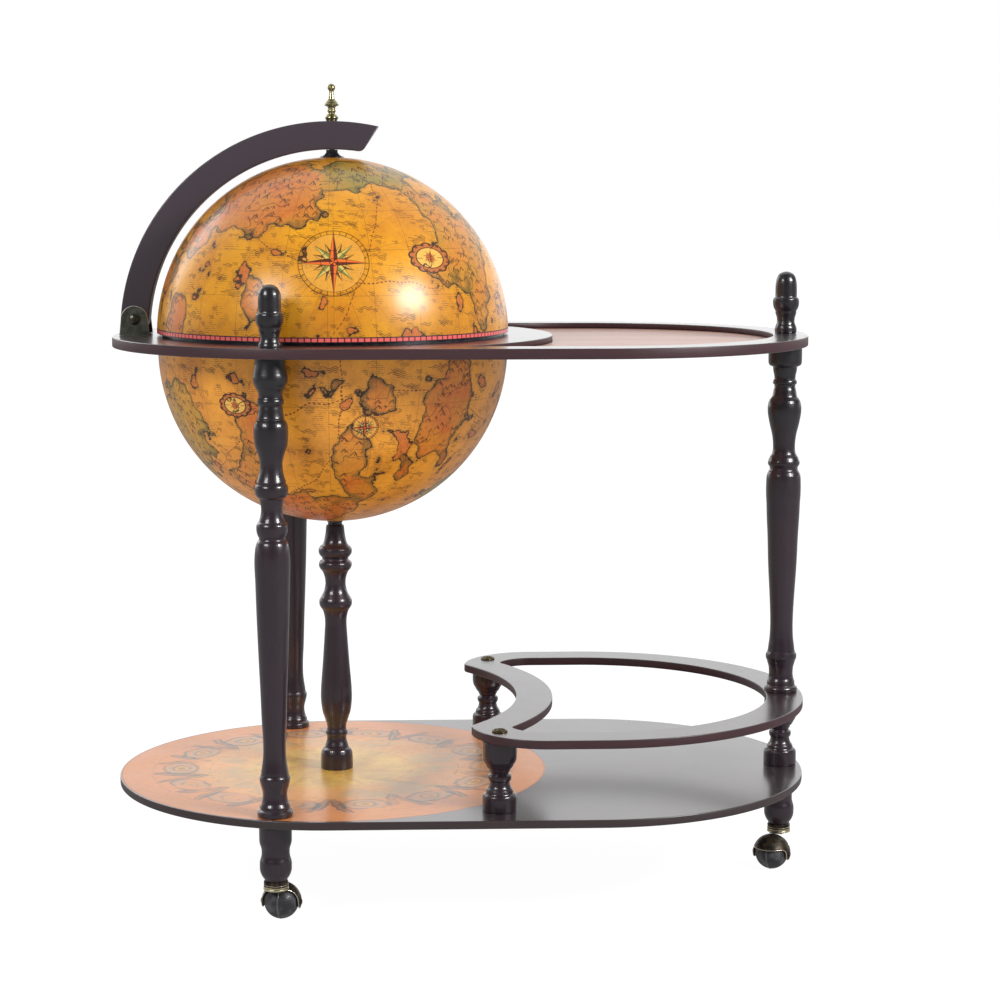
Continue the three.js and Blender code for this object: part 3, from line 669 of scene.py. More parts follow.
class Workshop:
    """Tools that the sub-assemblies share: the two trees, and the showing of pieces."""

    def __init__(self) -> None:
        """Builds both Geometry Nodes trees."""
        self.lathe = turning_tree()
        self.setter = setting_tree()
        self.shown = 0

    def turned(self, outline: Sequence[Point2], finish: bpy.types.Material,
               segments: int = 56, sharp: float = 50.0) -> bpy.types.Mesh:
        """Turns an outline about the Z axis.

        Args:
            outline: radius and height of each point, from the bottom up on the outside.
            finish: material of the result.
            segments: facets round it.
            sharp: edges that bend more than this many degrees stay crisp.

        Returns:
            A mesh in millimetres.
        """
        line = meshed("outline", [(r, 0.0, z) for r, z in outline])
        return self.lathe.run(line, Segments=segments, Weld=0.002, Sharp=math.radians(sharp),
                              Material=finish)

    def set_out(self, template: bpy.types.Mesh, places: Sequence[Point3],
                finish: bpy.types.Material) -> bpy.types.Mesh:
        """Sets a template out on places.

        Args:
            template: mesh round the origin.
            places: where each copy goes.
            finish: material of the result.

        Returns:
            One mesh of all the copies.
        """
        pattern = linked("pattern", template)
        result = self.setter.run(meshed("places", places), Template=pattern, Material=finish)
        bpy.data.objects.remove(pattern)
        return result

    def show(self, name: str, mesh: bpy.types.Mesh, slot: Slot, *nodes: str,
             finish: bpy.types.Material | None = None, place: Matrix = Matrix.Identity(4),
             body: str = Body.STAND.value) -> None:
        """Puts a finished mesh into the scene in place of its nodes.

        Args:
            name: name of the piece.
            mesh: mesh in millimetres.
            slot: record's slot for its finish; not used.
            nodes: CAD nodes that it stands for.
            finish: material, where the mesh has none yet.
            place: where it goes, in millimetres.
            body: body that it rides on.
        """
        mesh.transform(Matrix.Scale(MM, 4) @ place)
        mesh.name = name
        if finish is not None:
            mesh.materials.clear()
            mesh.materials.append(finish)
        piece = linked(name, mesh)
        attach(piece, body)
        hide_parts(*nodes)
        self.shown += 1
        LOG.info("%s rides on %s, %d faces", name, body, len(mesh.polygons))

    def dress(self, finish: bpy.types.Material, *nodes: str) -> None:
        """Gives CAD nodes that stay a material on every slot."""
        for node in nodes:
            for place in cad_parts[node].material_slots:
                place.material = finish
            LOG.info("%s keeps its solid, in %s", node, finish.name)


# Finishes


@dataclass(frozen=True)
class Lacquer:
    """Espresso lacquer over turned wood: a faint grain, and painted shade that darkens it towards
    the table.
    """

    name: str
    deep: Colour = "241a22"
    warm: Colour = "2f1d26"
    # Colour of the painted shade over the upper part of the turnings.
    crown: Colour = "18151a"
    roughness: float = 0.3
    coat: float = 0.8
    along: Point3 = (1.0, 1.0, 0.08)
    shade_from: float = 430.0
    shade_full: float = 620.0

    def build(self) -> bpy.types.Material:
        """Makes the material."""
        shader = Shader(self.name)
        spot = shader.spot()
        grain = spot.stretch(self.along).noise(1.7, 4.0, 0.6)
        cloud = spot.noise(90.0)
        warmth = (grain * 0.7 + cloud * 0.4).ramp(0.4, 0.9)
        specks = spot.noise(1.3, 1.0)
        # Painted shade: the colour darkens with height over the upper part, towards the table.
        high = spot.parts()[2].ramp(self.shade_from, self.shade_full)
        return shader.surface(
            Base_Color=warmth.mix(self.deep, self.warm).under(high, self.crown),
            Roughness=self.roughness + 0.06 * cloud + 0.04 * grain,
            Coat_Weight=self.coat, Coat_Roughness=0.13, Specular_IOR_Level=0.4,
            Normal=shader.relief(grain * 0.6 + specks * 0.4, 0.05))


@dataclass(frozen=True)
class BoardLacquer:
    """Espresso lacquer on flat board, redder and duller on its edges."""

    name: str
    deep: Colour = "2b2226"
    warm: Colour = "36282b"
    edge: Colour = "43242c"
    streaks: Colour = "261615"
    roughness: float = 0.28

    def ground(self, shader: Shader) -> tuple[Wire, Wire, Wire, Wire]:
        """Lays the lacquer.

        Args:
            shader: material being made.

        Returns:
            Its colour, roughness, relief height and coat.
        """
        spot = shader.spot()
        grain = spot.stretch((0.06, 1.0, 1.0)).noise(2.2, 4.0, 0.6)
        cloud = spot.noise(70.0, 3.0)
        top = (grain * 0.5 + cloud * 0.7).ramp(0.4, 0.95).mix(self.deep, self.warm)
        streak = spot.stretch((0.05, 0.05, 1.0)).noise(0.8)
        rim = shader.attribute("edge").ramp(0.25, 0.85)
        colour = top.under(rim, (streak * 0.8).mix(self.edge, self.streaks))
        rough = self.roughness + 0.1 * cloud + 0.05 * grain + 0.14 * rim
        return colour, rough, grain, 1.0 - 0.9 * rim

    def build(self) -> bpy.types.Material:
        """Makes the material."""
        shader = Shader(self.name)
        colour, roughness, grain, coat = self.ground(shader)
        return shader.surface(
            Base_Color=colour, Roughness=roughness, Coat_Weight=coat, Coat_Roughness=0.22,
            Normal=shader.relief(grain, 0.03))


@dataclass(frozen=True)
class Veneer:
    """Pinkish brown veneer of the tray, with straight grain."""

    name: str
    light: Colour = "bc9484"
    dark: Colour = "9c6c5c"
    ring_pitch: float = 14.0

    def build(self) -> bpy.types.Material:
        """Makes the material."""
        shader = Shader(self.name)
        spot = shader.spot()
        bend = spot.noise(90.0)
        x, y, z = spot.parts()
        fibres = (x * 0.02).join(y + bend * 26, z).noise(1.6, 4.0, 0.65)
        rings = ((y + bend * 60) / self.ring_pitch).sine() * 0.5 + 0.5
        tone = (fibres * 0.85 + rings * 0.1).ramp(0.3, 0.8)
        return shader.surface(
            Base_Color=tone.mix(self.light, self.dark), Roughness=0.34 + 0.12 * fibres,
            Coat_Weight=0.22, Coat_Roughness=0.2, Normal=shader.relief(fibres, 0.05))


@dataclass(frozen=True)
class Metal:
    """Plated metal with a darker patina in patches, and a painted highlight along its edges if
    asked.
    """

    name: str
    bright: Colour
    patina: Colour
    roughness: float
    patch: float = 6.0
    cover: float = 0.5
    shine: float = 1.0
    # Colour of the painted highlight along eased edges.
    edge_highlight: Colour | None = None

    def build(self) -> bpy.types.Material:
        """Makes the material."""
        shader = Shader(self.name)
        spot = shader.spot()
        cloud, fine = spot.noise(self.patch, 4.0, 0.6), spot.noise(0.7)
        bare = 1.0 - self.cover
        age = (cloud * 0.8 + fine * 0.2).ramp(bare - 0.12, bare + 0.2)
        colour = age.mix(self.bright, self.patina)
        metallic = self.shine * (1.0 - 0.25 * age)
        if self.edge_highlight is not None:
            # Painted highlight: a pale, less metallic colour along the eased edges.
            worn = shader.attribute("edge").ramp(0.04, 0.16) * (0.7 + 0.3 * cloud)
            colour = colour.under(worn, self.edge_highlight)
            metallic = metallic * (1.0 - 0.8 * worn)
        return shader.surface(
            Base_Color=colour, Metallic=metallic,
            Roughness=self.roughness + 0.18 * age + 0.05 * fine,
            Normal=shader.relief(fine * 0.5 + cloud * 0.5, 0.04))


@dataclass(frozen=True)
class Moulding:
    """Dark moulded or painted surface with a fine skin, pale clouds partly of painted sheen, and a
    painted seam highlight.
    """

    name: str
    colour: Colour
    roughness: float
    coat: float
    mottle_and_sheen: Colour = "47464a"
    # Colour of the painted highlight along the seam.
    seam: Colour = "7c7c7e"

    def build(self) -> bpy.types.Material:
        """Makes the material."""
        shader = Shader(self.name)
        spot = shader.spot()
        cloud = spot.noise(12.0, 3.0)
        # Pale clouds: random tone, and on the ball a painted mottled sheen.
        worn = cloud.ramp(0.4, 0.7).mix(self.colour, self.mottle_and_sheen)
        # Painted highlight: faces marked as edge, the ball's seam, take the pale seam colour.
        return shader.surface(
            Base_Color=worn.under(shader.attribute("edge") * 0.25, self.seam),
            Roughness=self.roughness + 0.14 * cloud, Coat_Weight=self.coat,
            Coat_Roughness=0.1, Normal=shader.relief(spot.noise(0.9, 3.0), 0.04))


def star(across: Wire, up: Wire, points: int, outer: float, inner: float,
         turn: float = 0.0) -> tuple[Wire, Wire]:
    """Star of straight-sided points, each half light and half dark.

    Args:
        across: millimetres to the right of its centre.
        up: millimetres above its centre.
        points: how many points.
        outer: radius of their tips.
        inner: radius of the notches between them.
        turn: angle of the first point, in radians.

    Returns:
        One inside the star, and one on the left half of each point.
    """
    half = math.pi / points
    reach = span(across, up)
    angle = (up.bearing(across) - turn).repeat(2 * half)
    along, aside = reach * angle.cosine(), reach * angle.sine()
    edge_x, edge_y = inner * math.cos(half) - outer, inner * math.sin(half)
    depth = (abs(aside) * edge_x - (along - outer) * edge_y) / math.hypot(edge_x, edge_y)
    return depth.ramp(-0.25, 0.25), aside.ramp(-0.15, 0.15)


@dataclass(frozen=True)
class Mark:
    """Something on the map: its middle in degrees and its reach in millimetres."""

    longitude: float
    latitude: float
    reach: float

    def ways(self) -> tuple[np.ndarray, np.ndarray, np.ndarray]:
        """Outward, eastward and northward unit vectors at its middle."""
        east, north = math.radians(self.longitude), math.radians(self.latitude)
        out = np.array([math.cos(north) * math.cos(east), math.cos(north) * math.sin(east),
                        math.sin(north)])
        across = np.array([-math.sin(east), math.cos(east), 0.0])
        return out, across, np.cross(out, across)

    def seen(self, spot: Wire) -> tuple[Wire, Wire, Wire]:
        """Millimetres outward, eastward and northward of a place."""
        out, east, north = self.ways()
        return spot.dot(out), spot.dot(east), spot.dot(north)


@dataclass(frozen=True)
class Land(Mark):
    """One land of the map, with its length to width, its turn in degrees and its tint."""

    stretch: float
    turn: float
    tint: float


@dataclass(frozen=True)
class Waves:
    """Groups of wavy strokes over the sea; lengths in millimetres.

    The pitch is the space between groups along a parallel, the gap the space between rows, and
    the reach half the length of a group's first stroke. Each next line is shorter, and the empty
    share of the places has no group.
    """

    pitch: float
    gap: float
    reach: float
    lines: int
    empty: float

    def draw(self, longitude: Wire, latitude: Wire, radius: float) -> Wire:
        """One on the strokes.

        Args:
            longitude: radians.
            latitude: radians.
            radius: radius of the globe.

        Returns:
            The strokes' mask.
        """
        reach = self.reach
        row = (latitude / (self.gap / radius)).floor()
        middle = (row + 0.5) * (self.gap / radius)
        across = longitude * (middle.cosine() * radius) + row * (self.pitch * 0.37)
        cell = (across / self.pitch).floor()
        luck, jump = (self.chance(cell.join(row, self.pitch + step)) for step in (0.0, 1.0))
        u = across - (cell + 0.5) * self.pitch - (jump - 0.5) * (self.pitch - 2 * reach)
        v = ((latitude - middle) * radius + (jump * 7.0).fraction() * (self.gap * 0.4)
             - self.gap * 0.2)
        ripple = (u * (6.0 / reach) + luck * 9.0).sine() * (0.4 + 0.06 * reach)
        drawn = None
        for line in range(self.lines):
            length = reach * (1 - 0.28 * line)
            stroke = ((v - ripple + 2.1 * line).stroke(0.52, 0.25)
                      * abs(u - 0.2 * reach * line).ramp(length, length * 0.75))
            drawn = stroke if drawn is None else drawn.most(stroke)
        return drawn * luck.above(self.empty)

    def chance(self, cell: Wire) -> Wire:
        """Random number for each whole-number place."""
        return cell.graph.add("ShaderNodeTexWhiteNoise", {"noise_dimensions": "3D"},
                              {"Vector": cell})


def chart(mesh: bpy.types.Mesh, height: float, radius: float, lands: Sequence[Land],
          seed: int) -> None:
    """Stores the map on a mesh: "coast", millimetres inside a land, "tint" and "lining".

    Args:
        mesh: half globe in millimetres.
        height: height of the sphere's centre.
        radius: radius of the sphere.
        lands: lands of the map.
        seed: seed of the coasts' shape.
    """
    centre = np.array((0.0, 0.0, height), np.float32)
    away = readings(mesh.vertices, "co") - centre
    unit = away / np.linalg.norm(away, axis=1)[:, None]
    chance = np.random.default_rng(seed)
    coast = np.full(len(unit), -1e3)
    tint, weight = np.zeros(len(unit)), np.zeros(len(unit))
    for land in lands:
        out, east, north = land.ways()
        reach = radius * np.arccos(np.clip(unit @ out, -1, 1))
        bearing = np.arctan2(unit @ north, unit @ east) - math.radians(land.turn)
        wide = math.sqrt(land.stretch)
        scaled = reach * np.hypot(np.cos(bearing) / wide, np.sin(bearing) * wide)
        lobes = sum(chance.normal(0, 0.22 / k) * np.cos(k * bearing + chance.uniform(0, 6.28))
                    for k in range(2, 8))
        inside = land.reach * (1 + lobes) - scaled
        share = np.exp(np.clip(inside, -60, 60) / 8)
        tint += share * land.tint
        weight += share
        coast = np.maximum(coast, inside)
    for length, swing, count in ((120, 12.0, 10), (52, 8.0, 14), (25, 4.2, 18), (13, 2.2, 18)):
        for _ in range(count):
            heading = chance.normal(0, 1, 3)
            heading /= np.linalg.norm(heading)
            phase = unit @ heading * (TURN * radius / length) + chance.uniform(0, 6.28)
            coast += swing * math.sqrt(2 / count) * np.sin(phase)
    number(mesh, "coast", coast, "POINT")
    number(mesh, "tint", tint / weight, "POINT")
    deep = np.linalg.norm(readings(mesh.polygons, "center") - centre, axis=1) < radius - 0.9
    number(mesh, "lining", deep)


@dataclass(frozen=True)
class MapPaper:
    """Varnished map of a made-up world, printed in browns on amber paper.

    Coasts, a net of meridians and parallels, dashed routes, waves, hills, script-like hatching,
    compass roses and plaques round a rosette are drawn in millimetres on the sphere. A dashed
    border runs round the lid's rim, and the inside is lined with plain paper.
    """

    name: str
    centre: Point3
    radius: float
    roses: tuple[Mark, ...]
    plaques: tuple[Mark, ...]
    routes: tuple[Mark, ...]
    border: float | None = None
    sea_light: Colour = "de9a14"
    sea_dark: Colour = "c07612"
    ink: Colour = "1c0f0d"
    waves: tuple[Waves, ...] = (Waves(47.0, 23.0, 13.0, 4, 0.45), Waves(31.0, 17.0, 8.5, 2, 0.5),
                                Waves(21.0, 9.0, 4.2, 3, 0.6))

    def hills(self, spot: Wire, longitude: Wire) -> Wire:
        """Little peaks with one shaded side."""
        cell = spot.graph.add("ShaderNodeTexVoronoi", None,
                              {"Vector": spot, "Scale": 1 / 12.5, "Randomness": 0.8}, "Position")
        x, y, z = spot.graph.add("ShaderNodeVectorMath", {"operation": "SUBTRACT"},
                                 {0: spot, 1: cell}).parts()
        u = y * longitude.cosine() - x * longitude.sine()
        slope = abs(u) * 1.05 + z - 2.2
        peak = slope.stroke(0.75, 0.3) * abs(u).ramp(4.6, 3.6)
        shade = (slope.ramp(0.1, -0.4) * u.ramp(0.0, 0.5) * z.ramp(-2.6, -1.8)
                 * (u * 2.6 + z).sine().ramp(-0.3, 0.4))
        return peak.most(shade * 0.8)

    def rose(self, spot: Wire, rose: Mark, colour: Wire) -> Wire:
        """Draws one compass rose over a colour."""
        out, u, v = rose.seen(spot)
        facing, reach, size = out.above(0.0), span(u, v), rose.reach
        near = facing * reach.below(size * 1.12)
        colour = colour.under(near * reach.ramp(size * 0.98, size * 0.9) * 0.55, "dba045")
        for points, outer, inner, turn, dark, light in (
                (8, 0.62, 0.26, math.pi / 8, "6b4a20", "d9a04a"),
                (4, 0.76, 0.17, math.pi / 4, "7a7a3c", "c9b25c"),
                (4, 0.99, 0.15, 0.0, "5a2416", "e0692c")):
            body, half = star(u, v, points, outer * size, inner * size, turn)
            rim, _ = star(u, v, points, outer * size + 1.6, inner * size + 0.9, turn)
            colour = colour.under(near * rim, self.ink).under(near * body, half.mix(dark, light))
        for place, width in ((1.05, 0.45), (0.93, 0.3), (0.38, 0.35), (0.12, 0.5)):
            circle = (reach - place * size).stroke(width, 0.25)
            colour = colour.under(near * circle * 0.85, self.ink)
        angle = v.bearing(u)
        ticks = (angle.repeat(math.pi / 16) * reach).stroke(0.45, 0.25)
        band = reach.above(0.93 * size) * reach.below(1.05 * size)
        colour = colour.under(near * ticks * band * 0.8, self.ink)
        rays = (angle.repeat(math.pi / 8) * reach).stroke(0.14, 0.3) * facing
        fade = reach.ramp(size * 4.2, size * 1.3) * reach.above(size * 1.05)
        return colour.under(rays * fade * 0.5, self.ink)

    def route(self, spot: Wire, route: Mark, coast: Wire, colour: Wire) -> Wire:
        """Draws a dashed sea route, a ring round a pole, over a colour."""
        out, u, v = route.seen(spot)
        away = out - route.reach + spot.sway(24.0, 60.0, 1.0)
        dash = (v.bearing(u) * self.radius).repeat(7.0)
        drawn = away.stroke(0.5, 0.3) * abs(dash).ramp(2.3, 2.0) * coast.ramp(-2.0, -4.0)
        return colour.under(drawn * 0.9, "6a2416")

    def plaque(self, spot: Wire, plaque: Mark, colour: Wire) -> Wire:
        """Draws a scalloped frame round a rosette, over a colour."""
        out, u, v = plaque.seen(spot)
        facing, size = out.above(0.0), plaque.reach
        wide, high = u / (1.5 * size), v / size
        angle = high.bearing(wide)
        reach = span(wide, high) * size
        scallop = reach - abs((angle * 5.0).sine()) * (0.12 * size)
        curl = (angle * 15.0).sine().ramp(0.0, 0.5) * scallop.ramp(0.8 * size, 0.84 * size)
        for mask, tone in ((scallop.ramp(size, size - 0.6), "b5662a"),
                           ((scallop - size).stroke(0.7, 0.3), self.ink),
                           (curl * scallop.below(size) * 0.7, self.ink),
                           (reach.ramp(0.76 * size, 0.74 * size), "e2ad4c"),
                           ((reach - 0.75 * size).stroke(0.5, 0.3), self.ink)):
            colour = colour.under(facing * mask, tone)
        for outer, turn, dark, light in ((0.6, 0.4, "5a4a20", "c98a34"),
                                         (0.44, 0.0, "6a2814", "d8702c")):
            body, half = star(u, v, 8, outer * size, 0.22 * size, turn)
            colour = colour.under(body * facing, half.mix(dark, light))
        scale = v.stroke(0.4, 0.3) * abs(abs(u) - 0.84 * size).ramp(0.24 * size, 0.22 * size)
        return colour.under(scale * facing * 0.8, self.ink)

    def trimmed(self, height: Wire, longitude: Wire, colour: Wire) -> Wire:
        """Draws the dashed border round the rim over a colour."""
        dashes = 176
        rise = height - (self.border - self.centre[2])
        strip = rise.ramp(0.6, 0.8) * rise.ramp(4.7, 4.5)
        dash = abs((longitude * (dashes / TURN)).repeat(1.0)).ramp(0.4, 0.36)
        colour = colour.under(rise.ramp(5.9, 5.7), "2a1f2c").under(strip, "7e2628")
        return colour.under(dash * strip, "e4645f")

    def sea(self, spot: Wire, height: Wire, coast: Wire, mottle: Wire, fleck: Wire) -> Wire:
        """Amber sea with green shallows, lines that echo the coast, and script-like hatching.

        Args:
            spot: place on the globe.
            height: millimetres above its middle.
            coast: millimetres inside a land.
            mottle: broad noise.
            fleck: fine noise.

        Returns:
            The colour.
        """
        colour = (mottle * 0.9 + fleck * 0.25).ramp(0.35, 0.85).mix(self.sea_light, self.sea_dark)
        colour = colour.under(coast.ramp(-5.0, 0.0) * (0.2 + 0.45 * fleck), "6c6636")
        echo = height.repeat(1.9).stroke(0.3, 0.3) * coast.ramp(-9.5, -2.0) * fleck.ramp(0.35, 0.55)
        colour = colour.under(echo * 0.75, self.ink)
        patch = spot.noise(19.0, 1.0).ramp(0.6, 0.65)
        broken = spot.stretch((1.0, 1.0, 3.0)).noise(2.6, 1.0).ramp(0.42, 0.5)
        script = height.repeat(2.3).stroke(0.32, 0.3) * patch * broken * coast.ramp(-4.0, -6.0)
        return colour.under(script * 0.8, "4a3a22")

    def earth(self, spot: Wire, coast: Wire, isle: Wire, hatch: Wire, hills: Wire,
              fleck: Wire) -> Wire:
        """Lands tinted from orange to olive, darker along the shore, with hills and streams.

        Args:
            spot: place on the globe.
            coast: millimetres inside a land.
            isle: one on the isles.
            hatch: one on slanted lines.
            hills: one on little peaks.
            fleck: fine noise.

        Returns:
            The colour.
        """
        tint = spot.graph.attribute("tint") + spot.sway(0.7, 34.0)
        colour = spot.graph.add("ShaderNodeValToRGB", {"stops": (
            (0.0, "cb661e"), (0.35, "d07e26"), (0.62, "b88822"), (1.0, "8d8026"))}, {0: tint})
        shore = coast.ramp(12.0, 0.0) * (0.45 + 0.6 * fleck) * (1.0 - 0.75 * isle)
        inland = coast.ramp(4.0, 7.0) * spot.noise(30.0, 1.0).ramp(0.36, 0.46)
        streams = spot.sway(30.0, 30.0).stroke(0.28, 0.4) * coast.ramp(2.0, 6.0)
        for mask, tone in ((spot.noise(38.0).ramp(0.4, 0.65) * 0.45, "cc8a20"),
                           (fleck.ramp(0.35, 0.8) * 0.4, "8a4a22"),
                           (isle * 0.8, "d4702a"), (shore, "565024"),
                           (hatch * coast.ramp(8.0, 1.0) * fleck.ramp(0.3, 0.6) * 0.6, self.ink),
                           (hills * inland * 0.9, self.ink), (streams * 0.6, self.ink)):
            colour = colour.under(mask, tone)
        return colour

    def build(self) -> bpy.types.Material:
        """Makes the material."""
        shader = Shader(self.name)
        spot = shader.spot(self.centre)
        x, y, height = spot.parts()
        longitude, girth = y.bearing(x), span(x, y)
        latitude = (height / self.radius).math("MINIMUM", 1.0).most(-1.0).math("ARCSINE")
        isles = (spot.noise(30.0, 2.0, 0.4) - 0.68) * 90.0
        mainland = shader.attribute("coast")
        coast = mainland.most(isles) + spot.sway(15.0, 11.0, 3.0, 0.6) + spot.sway(4.0, 3.4)
        mottle, fleck = spot.noise(60.0, 3.0, 0.55), spot.noise(4.5, 3.0, 0.6)
        sea = self.sea(spot, height, coast, mottle, fleck)
        for waves in self.waves:
            drawn = waves.draw(longitude, latitude, self.radius)
            sea = sea.under(drawn * coast.ramp(-5.0, -8.0) * (0.35 + 0.6 * fleck), self.ink)
        hatch = (height + longitude * girth * 0.8).repeat(2.6).stroke(0.4, 0.3)
        earth = self.earth(spot, coast, (isles - mainland).ramp(0.0, 4.0), hatch,
                           self.hills(spot, longitude), fleck)
        colour = sea.under(coast.ramp(-0.3, 0.3), earth)
        for route in self.routes:
            colour = self.route(spot, route, coast, colour)
        net = ((longitude.repeat(math.pi / 12) * girth).stroke(0.2, 0.3)
               .most((latitude.repeat(math.pi / 12) * self.radius).stroke(0.2, 0.3)))
        colour = colour.under(net * 0.5, self.ink)
        for rose in self.roses:
            colour = self.rose(spot, rose, colour)
        for plaque in self.plaques:
            colour = self.plaque(spot, plaque, colour)
        line = (abs(coast) - 0.25 - spot.noise(9.0, 1.0) * 1.9).ramp(0.25, -0.25)
        age = spot.noise(1.6)
        colour = (colour.under(line * (0.8 + 0.2 * fleck), self.ink)
                  .under((1.0 - age).ramp(0.45, 0.7) * 0.22, "9a5f24"))
        if self.border is not None:
            colour = self.trimmed(height, longitude, colour)
        inside = shader.attribute("lining")
        return shader.surface(
            Base_Color=colour.under(inside, mottle.mix("c79a5e", "a87642")),
            Roughness=0.4 + 0.1 * fleck + 0.2 * inside, Coat_Weight=0.72 - 0.5 * inside,
            Coat_Roughness=0.25, Specular_IOR_Level=0.2,
            Normal=shader.relief(mottle * 0.7 + age * 0.3, 0.05))


@dataclass(frozen=True)
class ShelfPrint:
    """Round faded print on the shelf under the globe, inside the espresso lacquer."""

    name: str
    centre: Point2
    radius: float
    top: float
    braid_middle: float = 187.0
    braid_inside: float = 154.0
    braid_outside: float = 221.0
    rosettes: int = 14

    def build(self) -> bpy.types.Material:
        """Makes the material."""
        shader = Shader(self.name)
        # Painted shade: the shelf's edges take a darker edge colour than the table's.
        ground, roughness, grain, coat = BoardLacquer(self.name, edge="2e191f").ground(shader)
        spot = shader.spot((*self.centre, 0.0))
        x, y, z = spot.parts()
        reach = span(x, y)
        wash, fine = spot.noise(58.0, 4.0, 0.6), spot.noise(9.0, 4.0, 0.6)
        bent_x, bent_y = x + spot.sway(16.0, 21.0), y + spot.sway(16.0, 24.0)
        bleed = spot.sway(9.0, 16.0, 3.0)
        soft = reach + bleed
        middle = (wash.ramp(0.4, 0.6).mix("e2a45c", "bda272")
                  .under(fine.ramp(0.45, 0.7) * 0.7, "d08644"))
        heart = fine.ramp(0.35, 0.7).mix("e2bc52", "d8aa54")
        colour = (wash.ramp(0.3, 0.7).mix("d68a44", "c47030")
                  .under((wash + fine * 0.4).ramp(0.55, 0.9) * 0.5, "dfa070")
                  .under(soft.ramp(184.0, 150.0) * 0.85, middle)
                  .under(soft.ramp(132.0, 70.0) * 0.9, heart))
        worn = wash.ramp(0.3, 0.55) * (0.35 + 0.75 * fine)
        colour = self.braid(bent_y.bearing(bent_x), span(bent_x, bent_y), worn, colour)
        for outer, inner, turn, dark, light in ((156.0, 62.0, 0.2, "a0703c", "b98f58"),
                                                (118.0, 40.0, 0.65, "b06a2c", "cfa040")):
            body, half = star(bent_x, bent_y, 7, outer, inner, turn)
            colour = colour.under(body * wash.ramp(0.3, 0.7) * 0.45, half.mix(dark, light))
        for place, half in ((self.braid_outside, 0.7), (152.0, 0.7), (96.0, 0.5)):
            line = (reach + bleed * 0.12 - place).stroke(half, 0.5) * fine.ramp(0.4, 0.7)
            colour = colour.under(line * 0.7, "5c4636")
        colour = colour.under((reach - self.radius + 1.0).stroke(0.9, 0.5) * 0.7, "a0522f")
        covered = reach.below(self.radius) * z.above(self.top - 0.4)
        return shader.surface(
            Base_Color=ground.under(covered, colour), Roughness=roughness,
            Coat_Weight=coat * (1.0 - 0.75 * covered), Coat_Roughness=0.15,
            Specular_IOR_Level=0.95, Normal=shader.relief(grain, 0.03))

    def braid(self, angle: Wire, reach: Wire, worn: Wire, colour: Wire) -> Wire:
        """Draws a worn border of leaf pairs round rosettes.

        Args:
            angle: angle round the print.
            reach: millimetres from its middle.
            worn: one where the ink is whole.
            colour: colour under the border.

        Returns:
            The colour with the border over it.
        """
        sector = TURN / self.rosettes
        out = reach - self.braid_middle
        turn = angle.repeat(sector) * self.braid_middle
        side = (angle + sector / 2).repeat(sector) * self.braid_middle
        leaf = (turn * turn / 900.0 + out * out / 420.0).math("SQRT") - 1.0
        eye = (turn * turn / 2.2 + out * out).math("SQRT")
        lean = abs(side) - (out + 32.0) * 0.3
        dart = abs(lean) + abs(out) * 0.1 - 6.0
        within = (reach.ramp(self.braid_inside, self.braid_inside + 4.0)
                  * reach.ramp(self.braid_outside, self.braid_outside - 4.0))
        for mask, tone in ((leaf.ramp(0.04, -0.04) * 0.8, "8d9286"),
                           (leaf.stroke(0.09, 0.08) * 0.8, "4e4034"),
                           ((leaf + 0.3).stroke(0.06, 0.05), "d98a3c"),
                           (eye.ramp(8.6, 7.8), "d9963c"),
                           ((eye - 8.4).stroke(1.2, 1.0) * 0.8, "5c4636"),
                           (eye.ramp(3.6, 2.8), "7d6a3e"),
                           (dart.ramp(0.6, -0.6) * within * 0.9, "55605f"),
                           (dart.stroke(1.3, 1.0) * within * 0.8, "453a34"),
                           (lean.stroke(0.6, 0.4) * within, "cf8a44")):
            colour = colour.under(mask * worn, tone)
        return colour


# Sub-assemblies


